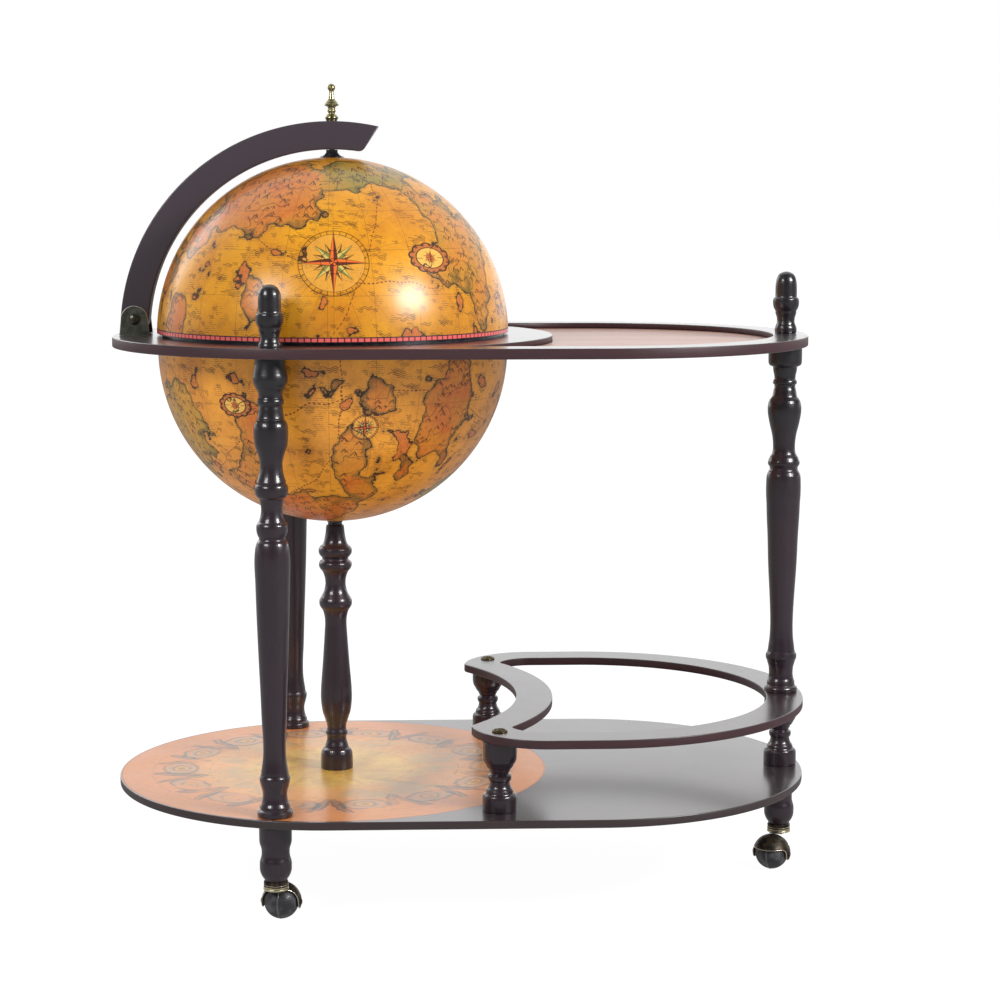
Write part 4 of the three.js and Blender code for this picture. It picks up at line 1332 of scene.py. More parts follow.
@dataclass
class Boards:
    """Table with its tray, shelf and gallery rail."""

    shop: Workshop
    globe_x: float = -153.65
    far_x: float = 153.65
    end_radius: float = 263.0
    table_base: float = 646.7
    table_top: float = 658.7
    shelf_base: float = 117.5
    shelf_top: float = 127.0
    ring_hole: float = 204.3
    tray_margin: float = 41.5
    tray_rabbet: float = 8.0
    tongue_top: float = 650.0
    panel_tongue: float = 649.7
    panel_top: float = 651.5
    seat: float = 0.3
    rail_base: float = 208.4
    rail_top: float = 218.4
    rail_width: float = 44.0
    rail_corner: Point2 = (94.3, 175.0)
    rail_corner_radius: float = 88.0
    rail_notch_x: float = -233.7
    rail_notch_radius: float = 300.0
    horn_radius: float = 18.0
    slot_radius: float = 8.0
    print_x: float = -156.85
    print_radius: float = 258.6
    ease: float = 1.1
    end_steps: int = 96

    def far_end(self, radius: float) -> list[Point2]:
        """Half circle at the end away from the globe."""
        return arc((self.far_x, 0), radius, -QUARTER, QUARTER, self.end_steps)

    def stadium(self) -> list[Point2]:
        """Outline with two round ends, of the table and the shelf."""
        near = arc((self.globe_x, 0), self.end_radius, QUARTER, 3 * QUARTER, self.end_steps)
        return [*self.far_end(self.end_radius), *near]

    def tray(self, inwards: float) -> list[Point2]:
        """Outline of the tray, a round end and the globe's lobe, moved inwards."""
        half, lobe = self.end_radius - (self.tray_margin + inwards), self.end_radius + inwards
        meet = math.asin(half / lobe)
        return [*self.far_end(half), *arc((self.globe_x, 0), lobe, meet, -meet, self.end_steps)]

    def rail(self, margin: float, horn_radius: float) -> list[Point2]:
        """Outline of the gallery rail: a round end, two big corners, two horns and a notch.

        Args:
            margin: how far inside the rail's outside.
            horn_radius: radius of the two horns.

        Returns:
            The outline, anticlockwise.
        """
        radius = self.rail_corner_radius - margin
        notch_radius = self.rail_notch_radius + margin
        corner, notch = Vector(self.rail_corner), Vector((self.rail_notch_x, 0.0))
        away = corner - notch
        near, far = notch_radius + horn_radius, radius - horn_radius
        along = (near ** 2 - far ** 2 + away.length ** 2) / (2 * away.length)
        aside = math.sqrt(near ** 2 - along ** 2)
        unit = away.normalized()
        horn = notch + unit * along + Vector((-unit.y, unit.x)) * aside
        outward = math.atan2(horn.y - corner.y, horn.x - corner.x) % TURN
        inward = math.atan2(notch.y - horn.y, notch.x - horn.x) % TURN
        upper = [*arc(tuple(corner), radius, QUARTER, outward, 36),
                 *arc(tuple(horn), horn_radius, outward, inward, 24)[1:],
                 *arc(tuple(notch), notch_radius, inward - math.pi, 0, 36)[1:]]
        lower = [(x, -y) for x, y in reversed(upper)][1:]
        return [*self.far_end(self.end_radius - margin)[1:-1], *upper, *lower]

    def build(self) -> None:
        """Makes and dresses the boards."""
        board = BoardLacquer("espresso_board").build()
        self.build_table(board)
        self.build_tray()
        shelf = slab(eased(self.stadium(), self.shelf_base, self.shelf_top, self.ease))
        printed = ShelfPrint("shelf_print", (self.print_x, 0.0), self.print_radius, self.shelf_top)
        self.shop.show("shelf_board_printed", marked(shelf), Slot.BOARD, "shelf_board",
                       finish=printed.build())
        loops = (self.rail(0.0, self.horn_radius),
                 self.rail(self.rail_width, self.slot_radius)[::-1])
        rail = slab(*(eased(loop, self.rail_base, self.rail_top, self.ease) for loop in loops))
        self.shop.show("gallery_rail_eased", marked(rail), Slot.BOARD, "gallery_rail",
                       finish=board)

    def build_table(self, finish: bpy.types.Material) -> None:
        """Makes the table, with a stepped hole for the tray and a round one for the globe."""
        opening, rabbet = self.tray(0.0)[::-1], self.tray(-self.tray_rabbet)[::-1]
        base, top, ledge = self.table_base, self.table_top, self.tongue_top
        table = slab(
            eased(self.stadium(), base, top, self.ease),
            [*eased(opening, ledge, top, self.ease)[:4], level(opening, ledge),
             level(rabbet, ledge), level(rabbet, base)],
            eased(ring((self.globe_x, 0), self.ring_hole, 192), base, top, 0.8))
        self.shop.show("table_board_eased", marked(table), Slot.BOARD, "table_board",
                       finish=finish)

    def build_tray(self) -> None:
        """Makes the tray's panel, whose tongue lies in the table's rabbet."""
        field, tongue = self.tray(self.seat), self.tray(self.seat - self.tray_rabbet)
        panel = slab([*eased(field, self.panel_tongue - 0.8, self.panel_top, 0.4)[:4],
                      level(field, self.panel_tongue), level(tongue, self.panel_tongue),
                      level(tongue, self.table_base)])
        self.shop.show("tray_panel_veneered", panel, Slot.PANEL, "tray_panel",
                       finish=Veneer("tray_veneer").build())


RIGHT_LEG: Profile = (
    (218.7, 40.2), (222.3, 40.4), (224.4, 39.0), (226.0, 35.0), (227.3, 33.8), (230.5, 33.8),
    (234.8, 30.9), (237.3, 29.8), (241, 29.1), (248.6, 30.0), (252.3, 31.9), (255.5, 33.8),
    (257.3, 34.6), (259.8, 37.0), (262.3, 37.6), (266.1, 36.5), (267.8, 33.6), (269.5, 32.9),
    (277.3, 30.9), (284.8, 28.9), (292.3, 28.0), (302.2, 27.6), (313.4, 28.0), (330.9, 29.5),
    (379.2, 34.9), (410.1, 37.0), (437.3, 39.8), (452.0, 40.8), (462, 42.0), (470, 42.3),
    (480.3, 41.8), (486.4, 40.6), (490.1, 37.8), (493.2, 34.2), (495.4, 33.6), (498, 36.6),
    (500.4, 38.6), (502.8, 38.3), (505.5, 36.6), (507.8, 34.8), (512.2, 29.4), (514.6, 27.8),
    (519.5, 26.6), (524.4, 26.8), (533.0, 28.5), (537.9, 30.3), (548.8, 35.7), (556.2, 38.5),
    (562.3, 40.4), (567.4, 40.8), (574.5, 39.2), (577.4, 37.3), (580.2, 33.6), (582.0, 30.6),
    (583.5, 29.6), (590.3, 27.3), (594.6, 25.2), (596.2, 25.6), (597.6, 28.4), (599.4, 29.4),
    (601.6, 28.4), (603.2, 25.7), (604.9, 25.4), (615.4, 28.9), (617.4, 29.0), (618.6, 31.5),
    (619.6, 36.2), (620.9, 38.6), (623, 40.2), (626, 40.6), (645, 40.7), (646.4, 39.8))
LEFT_LEG: Profile = (
    (127.3, 39.6), (128.8, 40.8), (131.4, 40.8), (133.4, 39.8), (134.6, 37.0), (135.6, 34.2),
    (136.5, 34.2), (137.8, 35.0), (139.6, 33.9), (142.3, 31.0), (145.8, 29.2), (149.3, 28.2),
    (152.7, 27.9), (156.2, 28.7), (161, 31.3), (165.5, 33.6), (168.4, 34.7), (170.4, 34.9),
    (172.2, 34.2), (173.8, 32.4), (175.6, 31.4), (178.4, 30.9), (183, 29.3), (190.9, 27.1),
    (197, 26.0), (205, 25.6), (214, 25.8), (223, 26.6), (237, 28.2), (255, 29.4), (274, 30.7),
    (292, 32.2), (310.5, 33.7), (328.8, 35.0), (347, 36.3), (365, 37.4), (383, 38.3), (397, 39.0),
    (406, 39.8), (415, 40.4), (420, 40.3), (427.7, 39.4), (433.4, 38.0), (437.9, 36.2),
    (440.4, 34.4), (442.6, 31.4), (444.2, 29.6), (445.8, 29.5), (447.2, 31.2), (450.4, 33.6),
    (453.7, 34.9), (457.1, 35.2), (460, 34.6), (462.2, 32.6), (463.8, 29.8), (466.2, 28.0),
    (468.4, 26.6), (472.9, 24.7), (477.4, 23.9), (481, 24.4), (484.2, 25.5), (487.6, 26.8),
    (489.8, 28.4), (491.4, 32.0), (493, 34.6), (495.5, 36.5), (499, 37.2), (502.2, 37.0),
    (504.6, 35.8), (505.9, 33.8), (506.6, 32.0), (507.6, 32.0), (508.4, 32.8), (510.1, 31.7),
    (512.3, 30.3), (516.8, 27.8), (521.3, 26.1), (525, 25.3), (529.2, 25.1), (532.5, 25.8),
    (537, 28.2), (541.5, 31.0), (546, 34.2), (550.4, 36.6), (554.9, 37.9), (560, 38.7), (564, 38.9),
    (568, 38.7), (570.6, 38.2), (573, 37.1), (575.2, 35.4), (577, 33.2), (577.9, 31.2),
    (578.8, 30.6), (580, 30.8), (581.8, 29.9), (586.2, 28.4), (590.7, 27.5), (592.8, 26.8),
    (594, 26.6), (595, 28.2), (597.4, 30.2), (599.6, 30.2), (601.5, 28.8), (603.2, 27.2),
    (606.3, 26.9), (608.5, 27.8), (611, 30.0), (612.8, 32.0), (613.8, 33.6), (614.8, 33.8),
    (617.5, 36.4), (620, 38.4), (622.6, 39.4), (626, 39.2), (630, 37.8), (635.2, 36.0), (641, 34.8),
    (646.4, 34.4))
POST: Profile = (
    (127.3, 39.0), (128.4, 39.6), (137, 39.4), (145.3, 38.3), (148.2, 36.6), (150.6, 34.6),
    (151.9, 31.5), (152.9, 29.0), (155.5, 28.0), (158.5, 26.0), (161.6, 24.2), (165.6, 23.6),
    (167.6, 24.6), (169.3, 26.2), (171.2, 26.8), (173.4, 26.0), (175.3, 23.6), (177.2, 23.0),
    (179.5, 23.4), (182.8, 24.8), (185.3, 26.6), (188.4, 28.4), (192.8, 31.4), (196.6, 33.8),
    (205.3, 36.6), (212, 37.8), (216.5, 38.1), (225.2, 37.6), (236.4, 36.1), (256.3, 32.8),
    (278, 29.7), (299.7, 26.9), (306, 26.2), (311, 26.3), (318.3, 28.5), (323.4, 32.0),
    (326.9, 36.6), (329.4, 39.0), (332, 39.8), (335, 39.4), (338.0, 37.2), (341.2, 33.4),
    (345.4, 29.0), (350.4, 26.0), (355.9, 24.5), (361.5, 25.3), (366.4, 27.7), (371.3, 32.0),
    (373, 35.0), (375.6, 38.4), (378.6, 40.0), (380.8, 39.8), (383.0, 37.8), (384.8, 33.0),
    (386.6, 31.4), (388.5, 33.2), (390.8, 37.2), (393.4, 39.9), (396.6, 40.4), (399.3, 39.4),
    (401.2, 36.6), (403.2, 32.0), (406.9, 27.9), (413.1, 24.8), (420.4, 22.6), (425.3, 21.8),
    (427.4, 21.2), (428.0, 17.4), (430.1, 17.2))
SPINDLE: Profile = (
    (127.3, 39.2), (128.3, 40.0), (142.2, 39.8), (145, 38.6), (146.4, 36.4), (147.2, 32.6),
    (148.6, 31.6), (150.4, 31.4), (152.2, 29.6), (154.2, 26.6), (157, 24.2), (160, 23.0),
    (161.6, 24.0), (163, 26.0), (165.6, 27.0), (168.2, 26.4), (169.4, 23.4), (170.6, 20.6),
    (172.4, 22.6), (174.8, 24.8), (176.2, 26.0), (177.0, 28.4), (179, 30.8), (181.5, 33.4),
    (184.8, 37.2), (188.3, 38.9), (192, 39.6), (206.6, 39.6), (208.1, 38.8))
FOOT: Profile = (
    (52.9, 25.6), (54.4, 27.0), (56.2, 29.6), (58.4, 32.2), (61.9, 35.0), (65.4, 36.3),
    (71.2, 36.5), (74.7, 35.9), (77.4, 34.4), (80, 32.8), (83.6, 31.8), (88.8, 32.1), (92, 33.8),
    (94.6, 35.5), (97, 36.6), (99.2, 37.0), (115.8, 37.2), (117.2, 36.4))
LEG_FINIAL: Profile = (
    (0, 25.4), (1.6, 26.2), (5.3, 26.6), (8.4, 25.2), (10.6, 23.2), (14.9, 21.2), (18.6, 21.8),
    (21.5, 23.6), (24.2, 25.2), (26.6, 25.2), (27.8, 26.4), (30.6, 29.4), (33.0, 30.8),
    (36.4, 31.5), (40.6, 31.3), (42.2, 29.6), (43.4, 26.8), (45, 26.3), (59.5, 25.6), (63.2, 24.8),
    (66.4, 22.9), (69.2, 20.3), (71.6, 16.1), (73, 10.6), (73.9, 5.4), (74.2, 0))
LEFT_FINIAL: Profile = ((0, 26.4), (1.4, 26.2), *((h - 4.8, d) for h, d in LEG_FINIAL[3:]))
ARM_FINIAL: Profile = (
    (912, 12.8), (914.5, 14.4), (916, 15.9), (918, 14), (919.2, 11.6), (920.4, 9), (921.6, 8),
    (923.9, 10.2), (926.3, 8.8), (928.6, 9.5), (929.6, 13), (930.4, 16.6), (931.2, 17.3),
    (933.3, 14.4), (934.5, 12.9), (935.7, 10.8), (936.9, 9.1), (938, 7.4), (941.6, 6.5),
    (946.7, 5.5), (947.8, 6), (949.4, 8.3), (951.4, 9.3), (953.4, 8.4), (955, 5.6), (955.8, 2.6),
    (956, 0))

# Radius and height of the points of two small turnings on the globe's axis.
POLE_CAP: Profile = (
    (3.5, 869.9), (8, 869.8), (14.8, 869.3), (14.9, 869.8), (11.5, 870.8), (9, 872.3),
    (7.6, 874.0), (7.0, 875), (7.0, 877.6), (6.6, 878.2), (3.5, 878.2), (3.5, 869.9))

BOWL_COLLAR: Profile = (
    (3.6, 430.7), (8.6, 430.7), (9.2, 431.3), (9.2, 433), (8.6, 433.7), (3.6, 433.7),
    (3.6, 430.7))

LID_LANDS = (
    Land(-132, 52, 72, 1.5, 20, 0.18), Land(-32, 30, 70, 0.8, -25, 0.5),
    Land(-176, 20, 50, 0.9, 10, 0.3), Land(-68, 66, 44, 1.7, 30, 0.95),
    Land(88, 42, 84, 1.3, -12, 0.75), Land(28, 58, 40, 1.2, 40, 0.5),
    Land(142, 17, 52, 1.5, 15, 0.1), Land(50, 14, 36, 0.8, 0, 0.2),
    Land(-118, 12, 15, 1.6, 25, 0.1), Land(-56, 12, 14, 0.7, -30, 0.15),
    Land(-136, 24, 9, 1.2, 50, 0.3), Land(-99, 49, 10, 0.6, 20, 0.2),
    Land(-66, 40, 8, 1.3, 0, 0.3), Land(-146, 11, 8, 1.4, 0, 0.2),
    Land(112, 66, 20, 1.2, 0, 0.9), Land(6, 12, 13, 1.1, 30, 0.2))

BOWL_LANDS = (
    Land(-52, -22, 50, 0.8, -20, 0.1), Land(-150, -24, 50, 1.1, 30, 0.7),
    Land(-104, -60, 52, 1.7, 10, 0.1), Land(-112, -19, 22, 0.8, 35, 0.15),
    Land(-84, -33, 15, 0.6, -35, 0.3), Land(-96, -8, 9, 1.5, 0, 0.2),
    Land(-12, -52, 36, 1.3, 0, 0.85), Land(34, -18, 54, 0.9, 25, 0.3),
    Land(96, -34, 66, 1.5, -10, 0.1), Land(150, -20, 34, 0.8, 15, 0.9),
    Land(-128, -40, 10, 1.4, 20, 0.4), Land(-72, -12, 8, 1.0, 0, 0.2))


@dataclass
class Turnings:
    """Legs, finials, feet, gallery spindles and centre post, all turned."""

    shop: Workshop
    horn: Point2 = (38.37, 214.02)
    globe_x: float = -153.65
    finial_base: float = 659.0
    pitch: float = 2.4
    sharp: float = 38.0

    def stand(self, node: str, marks: Profile, spot: Point2, finish: bpy.types.Material,
              rise: float = 0.0) -> None:
        """Makes one turning and shows it in place of its node.

        Args:
            node: name of the CAD node.
            marks: height and diameter of each mark, from the bottom up.
            spot: where its axis stands.
            finish: its material.
            rise: how far its marks are raised.
        """
        points = [(r, z + rise) for r, z in smooth_profile(marks, self.pitch)]
        end = [] if points[-1][0] == 0 else [(0.0, points[-1][1])]
        outline = [(0.0, points[0][1]), *points, *end]
        self.shop.show(f"{node}_turned", self.shop.turned(outline, finish, sharp=self.sharp),
                       Slot.LACQUER, node, place=Matrix.Translation((*spot, 0.0)))

    def build(self) -> None:
        """Makes and dresses every turning."""
        finish = Lacquer("espresso_turning").build()
        for station in Station:
            leg, finial = ((RIGHT_LEG, LEG_FINIAL) if station is Station.RIGHT
                           else (LEFT_LEG, LEFT_FINIAL))
            self.stand(f"leg_{station.label}", leg, station.spot, finish)
            self.stand(f"leg_finial_{station.label}", finial, station.spot, finish,
                       self.finial_base)
            self.stand(f"foot_{station.label}", FOOT, station.spot, finish)
        self.stand("gallery_spindle_front", SPINDLE, (self.horn[0], -self.horn[1]), finish)
        self.stand("gallery_spindle_back", SPINDLE, self.horn, finish)
        self.stand("gallery_spindle_right", SPINDLE, Station.RIGHT.spot, finish)
        self.stand("centre_post", POST, (self.globe_x, 0.0), finish)


@dataclass
class Globe:
    """Lid and bowl of the globe, the bowl's ring, the bottle rack and the pole's cap."""

    shop: Workshop
    axis_x: float = -153.65
    lid_centre: float = 659.4
    lid_radius: float = 210.0
    lid_rim: float = 666.3
    lid_edge: float = 662.2
    rebate_radius: float = 205.6
    lip_radius: float = 198.0
    lip_top: float = 674.3
    bowl_centre: float = 643.0
    bowl_radius: float = 209.0
    bowl_edge: float = 646.4
    neck_radius: float = 204.3
    neck_base: float = 626.4
    wall: float = 4.0
    pole_hole: float = 3.6
    ring_radius: float = 204.0
    ring_wall: float = 5.5
    ring_base: float = 626.7
    ring_top: float = 666.0
    rack_top: float = 640.7
    rack_floor: float = 531.7
    rack_plate: float = 4.0
    rack_top_radius: float = 197.3
    rack_floor_radius: float = 168.3
    bottle_radius: float = 43.0
    bottle_circle: float = 59.0
    glass_radius: float = 32.0
    glass_circle: float = 150.0
    spacer_radius: float = 6.0
    spacer_circle: float = 112.0
    ease: float = 0.8
    segments: int = 360
    rows: int = 96
    inner_rows: int = 24

    @property
    def axis(self) -> Matrix:
        """From the origin to the globe's upright axis."""
        return Matrix.Translation((self.axis_x, 0.0, 0.0))

    def show_half(self, node: str, outline: Sequence[Point2], paper: MapPaper,
                  lands: Sequence[Land], seed: int, body: Body) -> None:
        """Turns half a globe, stores its map on it and shows it.

        Args:
            node: name of the CAD node.
            outline: closed outline, from the lowest point of the outside up.
            paper: map paper, which knows the sphere.
            lands: lands of the map.
            seed: seed of the coasts.
            body: body that it rides on.
        """
        mesh = self.shop.turned(outline, paper.build(), self.segments, 30.0)
        chart(mesh, paper.centre[2], paper.radius, lands, seed)
        self.shop.show(f"{node}_printed", mesh, Slot.PAPER, node, place=self.axis,
                       body=body.value)

    def build(self) -> None:
        """Makes and dresses the globe."""
        self.build_lid()
        self.build_bowl()
        self.build_ring()
        self.build_rack()
        self.build_fittings()

    def build_lid(self) -> None:
        """Makes the lid."""
        middle, radius, inner = self.lid_centre, self.lid_radius, self.lid_radius - self.wall
        start = math.asin((self.lid_edge - middle) / radius)
        end = math.acos(self.pole_hole / radius)
        inner_start = math.asin((self.lip_top - middle) / inner)
        inner_end = math.acos(self.pole_hole / inner)
        outline = [(self.lip_radius, self.lid_rim), (self.rebate_radius, self.lid_rim),
                   (self.rebate_radius, self.lid_edge),
                   *arc((0.0, middle), radius, start, end, self.rows),
                   *arc((0.0, middle), inner, inner_end, inner_start, self.inner_rows),
                   (self.lip_radius, self.lip_top), (self.lip_radius, self.lid_rim)]
        paper = MapPaper(
            "lid_map", (self.axis_x, 0.0, middle), radius,
            roses=(Mark(-88, 26, 38), Mark(70, 24, 17), Mark(-150, 44, 12)),
            plaques=(Mark(-52, 27, 17), Mark(125, 34, 20)),
            routes=(Mark(-60, 62, 150), Mark(-150, 30, 96), Mark(60, 50, 120)),
            border=self.lid_edge)
        self.show_half("globe_lid", outline, paper, LID_LANDS, 11, Body.LID)

    def build_bowl(self) -> None:
        """Makes the bowl."""
        middle, radius, inner = self.bowl_centre, self.bowl_radius, self.bowl_radius - self.wall
        start = -math.acos(self.pole_hole / radius)
        end = math.asin((self.bowl_edge - middle) / radius)
        inner_start = math.asin((self.neck_base - middle) / inner)
        inner_end = -math.acos(self.pole_hole / inner)
        outside = arc((0.0, middle), radius, start, end, self.rows)
        outline = [*outside, (self.neck_radius, self.bowl_edge), (self.neck_radius, self.neck_base),
                   *arc((0.0, middle), inner, inner_start, inner_end, self.inner_rows), outside[0]]
        # Painted light: the bowl's sea colours are a lighter copy of the lid's, making up for the
        # light that the lower half lacks.
        paper = MapPaper(
            "bowl_map", (self.axis_x, 0.0, middle), radius,
            roses=(Mark(-78, -22, 15), Mark(66, -12, 16)),
            plaques=(Mark(-122, -15, 13), Mark(20, -46, 17)),
            routes=(Mark(-70, -58, 140), Mark(-130, -10, 150)),
            sea_light="e69a2a", sea_dark="c0761e")
        self.show_half("globe_bowl", outline, paper, BOWL_LANDS, 23, Body.STAND)

    def build_ring(self) -> None:
        """Makes the painted ring that lines the table's hole."""
        navy = Moulding("ring_navy", "191a26", 0.3, 0.3).build()
        outer, inner, ease = self.ring_radius, self.ring_radius - self.ring_wall, self.ease
        base, top = self.ring_base, self.ring_top
        outline = [(inner, base), (outer, base), (outer, top - ease), (outer - ease, top),
                   (inner + ease, top), (inner, top - ease), (inner, base)]
        self.shop.show("bowl_ring_painted", self.shop.turned(outline, navy, 256), Slot.BLACK,
                       "bowl_ring", place=self.axis)

    def build_rack(self) -> None:
        """Makes the bottle rack: a pierced top, a floor and three spacers."""
        board = BoardLacquer("rack_board").build()
        holes = [(self.bottle_circle, self.bottle_radius, 90 + 120 * i) for i in range(3)]
        holes += [(self.glass_circle, self.glass_radius, 60 * i) for i in range(6)]
        pierced = [ring((0.0, 0.0), self.rack_top_radius, 128, False)]
        pierced += [ring(polar(circle, degrees), radius) for circle, radius, degrees in holes]
        disc = [ring((0.0, 0.0), self.rack_floor_radius, 128, False)]
        for node, word, loops, top in (("rack_top", "pierced", pierced, self.rack_top),
                                       ("rack_floor", "disc", disc, self.rack_floor)):
            plate = slab(*(eased(loop, top - self.rack_plate, top, self.ease) for loop in loops))
            self.shop.show(f"{node}_{word}", marked(plate), Slot.BOARD, node, finish=board,
                           place=self.axis)
        lacquer = Lacquer("rack_lacquer").build()
        low, high = self.rack_floor + 0.3, self.rack_top - self.rack_plate - 0.3
        r = self.spacer_radius
        pin = self.shop.turned([(0, low), (r, low), (r, low + 3), (r - 1.2, low + 5),
                                (r - 1.2, high - 5), (r, high - 3), (r, high), (0, high)],
                               lacquer, 24, 38.0)
        spots = [polar(self.spacer_circle, 30 + 120 * i) for i in range(3)]
        places = [(self.axis_x + x, y, 0.0) for x, y in spots]
        self.shop.show("rack_spacers_turned", self.shop.set_out(pin, places, lacquer),
                       Slot.LACQUER, *(f"rack_spacer_{i}" for i in (1, 2, 3)))

    def build_fittings(self) -> None:
        """Makes the two small black pieces on the globe's axis."""
        black = Moulding("cap_black", "17171b", 0.3, 0.3).build()
        for node, outline, body in (("pole_cap", POLE_CAP, Body.ARM),
                                    ("bowl_collar", BOWL_COLLAR, Body.STAND)):
            self.shop.show(f"{node}_turned", self.shop.turned(outline, black, 48), Slot.BLACK,
                           node, place=self.axis, body=body.value)


@dataclass
class Meridian:
    """Meridian arm with its brass finial, and the bracket and bolt that it turns on."""

    shop: Workshop
    centre: Point2 = (-153.65, 658.7)
    inner_radius: float = 220.0
    outer_radius: float = 253.0
    depth: float = 36.0
    outer_end: float = 77.3
    inner_end: float = 80.6
    pivot: Point2 = (-389.36, 678.0)
    pivot_hole: float = 4.5
    corner: float = 6.0
    ease: float = 1.4
    bracket_base: float = 659.0
    bracket_wall: float = 2.0
    bracket_half: float = 18.0
    ear_radius: float = 16.2
    ear_inner: float = 18.3
    ear_hole: float = 4.4
    head_radius: float = 6.5
    head_edge: float = 0.7
    head_dome: float = 2.7
    shank_radius: float = 4.0

    def upright(self, mesh: bpy.types.Mesh, front: float) -> bpy.types.Mesh:
        """Stands a slab up so that its height runs along -Y, from a front face."""
        mesh.transform(Matrix.Translation((0, front, 0)) @ Matrix.Rotation(QUARTER, 4, "X"))
        return mesh

    def build(self) -> None:
        """Makes and dresses the arm and its hinge."""
        self.build_arm()
        self.build_finial()
        self.build_bracket()
        self.build_bolt()

    def build_arm(self) -> None:
        """Makes the arm, round at its root and cut off with one round corner at its end."""
        half = (self.outer_radius - self.inner_radius) / 2
        root = math.pi - math.asin((self.pivot[1] - self.centre[1]) / (self.inner_radius + half))
        end = math.radians(self.inner_end)
        outer = arc(self.centre, self.outer_radius, math.radians(self.outer_end), root, 140)
        inner = arc(self.centre, self.inner_radius, root,
                    end + self.corner / self.inner_radius, 140)
        first = Vector(inner[-1])
        tip = Vector(arc(self.centre, self.inner_radius, root, end, 1)[-1])
        last = tip + (Vector(outer[0]) - tip).normalized() * self.corner
        corner = [tuple(first * (1 - t) ** 2 + tip * (2 * t * (1 - t)) + last * t * t)
                  for t in np.linspace(0.15, 1.0, 7)]
        outline = [*outer, *arc(self.pivot, half, root, root + math.pi, 28)[1:-1], *inner, *corner]
        arm = slab(eased(outline, 0.0, self.depth, self.ease),
                   eased(ring(self.pivot, self.pivot_hole, 32), 0.0, self.depth, 0.4))
        finish = Lacquer("espresso_arm", "3a3139", "43343d", "3a3139", 0.42, 0.2,
                         (0.1, 1.0, 0.1)).build()
        self.shop.show("meridian_arm_shaped", self.upright(arm, self.depth / 2), Slot.LACQUER,
                       "meridian_arm", finish=finish, body=Body.ARM.value)

    def build_finial(self) -> None:
        """Makes the arm's brass finial."""
        brass = Metal("antique_brass", "b5ac82", "3e3925", 0.2, 4.0, 0.45).build()
        points = smooth_profile(ARM_FINIAL, 0.8)
        mesh = self.shop.turned([(0.0, points[0][1]), *points], brass, 48)
        self.shop.show("arm_finial_turned", mesh, Slot.BRASS, "arm_finial",
                       place=Matrix.Translation((self.centre[0], 0.0, 0.0)), body=Body.ARM.value)

    def build_bracket(self) -> None:
        """Makes the bracket: two pierced ears on a base plate."""
        # The last colour is a painted highlight along the ears' eased edges.
        bronze = Metal("bracket_bronze", "6e7066", "2a2c25", 0.3, 9.0, 0.52, 0.7,
                       "f0eee4").build()
        x, base, wall, half = self.pivot[0], self.bracket_base, self.bracket_wall, self.bracket_half
        ear = [(x + half, base), *arc(self.pivot, self.ear_radius, 0.0, math.pi, 40),
               (x - half, base)]
        edges = (eased(ear, 0.0, wall, 0.9),
                 eased(ring(self.pivot, self.ear_hole, 32), 0.0, wall, 0.3))
        parts = [self.upright(slab(*edges), front)
                 for front in (-self.ear_inner, self.ear_inner + wall)]
        deep = self.ear_inner + 0.4
        plate = [(x - half, -deep), (x + half, -deep), (x + half, deep), (x - half, deep)]
        parts.append(slab(eased(plate, base, base + wall, 0.4)))
        self.shop.show("hinge_bracket_folded", marked(joined(parts), squared=True), Slot.BRONZE,
                       "hinge_bracket", finish=bronze)

    def build_bolt(self) -> None:
        """Makes the pivot bolt with its domed head."""
        bronze = Metal("bolt_bronze", "5c5c52", "24251f", 0.22, 4.0, 0.5, 0.85).build()
        face = self.ear_inner + self.bracket_wall + 0.3
        r, shank_r = self.head_radius, self.shank_radius
        dome = [(r * math.cos(a), face + self.head_edge + self.head_dome * math.sin(a))
                for a in np.linspace(0.15, QUARTER, 10)]
        head = self.shop.turned([(0.0, face), (shank_r, face), (r, face),
                                 (r, face + self.head_edge), *dome], bronze, 40)
        shank = self.shop.turned([(0, -face - 5), (shank_r, -face - 5), (shank_r, face),
                                  (0, face)], bronze, 32)
        place = (Matrix.Translation((self.pivot[0], 0.0, self.pivot[1]))
                 @ Matrix.Rotation(QUARTER, 4, "X"))
        self.shop.show("pivot_bolt_domed", joined([head, shank]), Slot.BRONZE, "pivot_bolt",
                       finish=bronze, place=place)


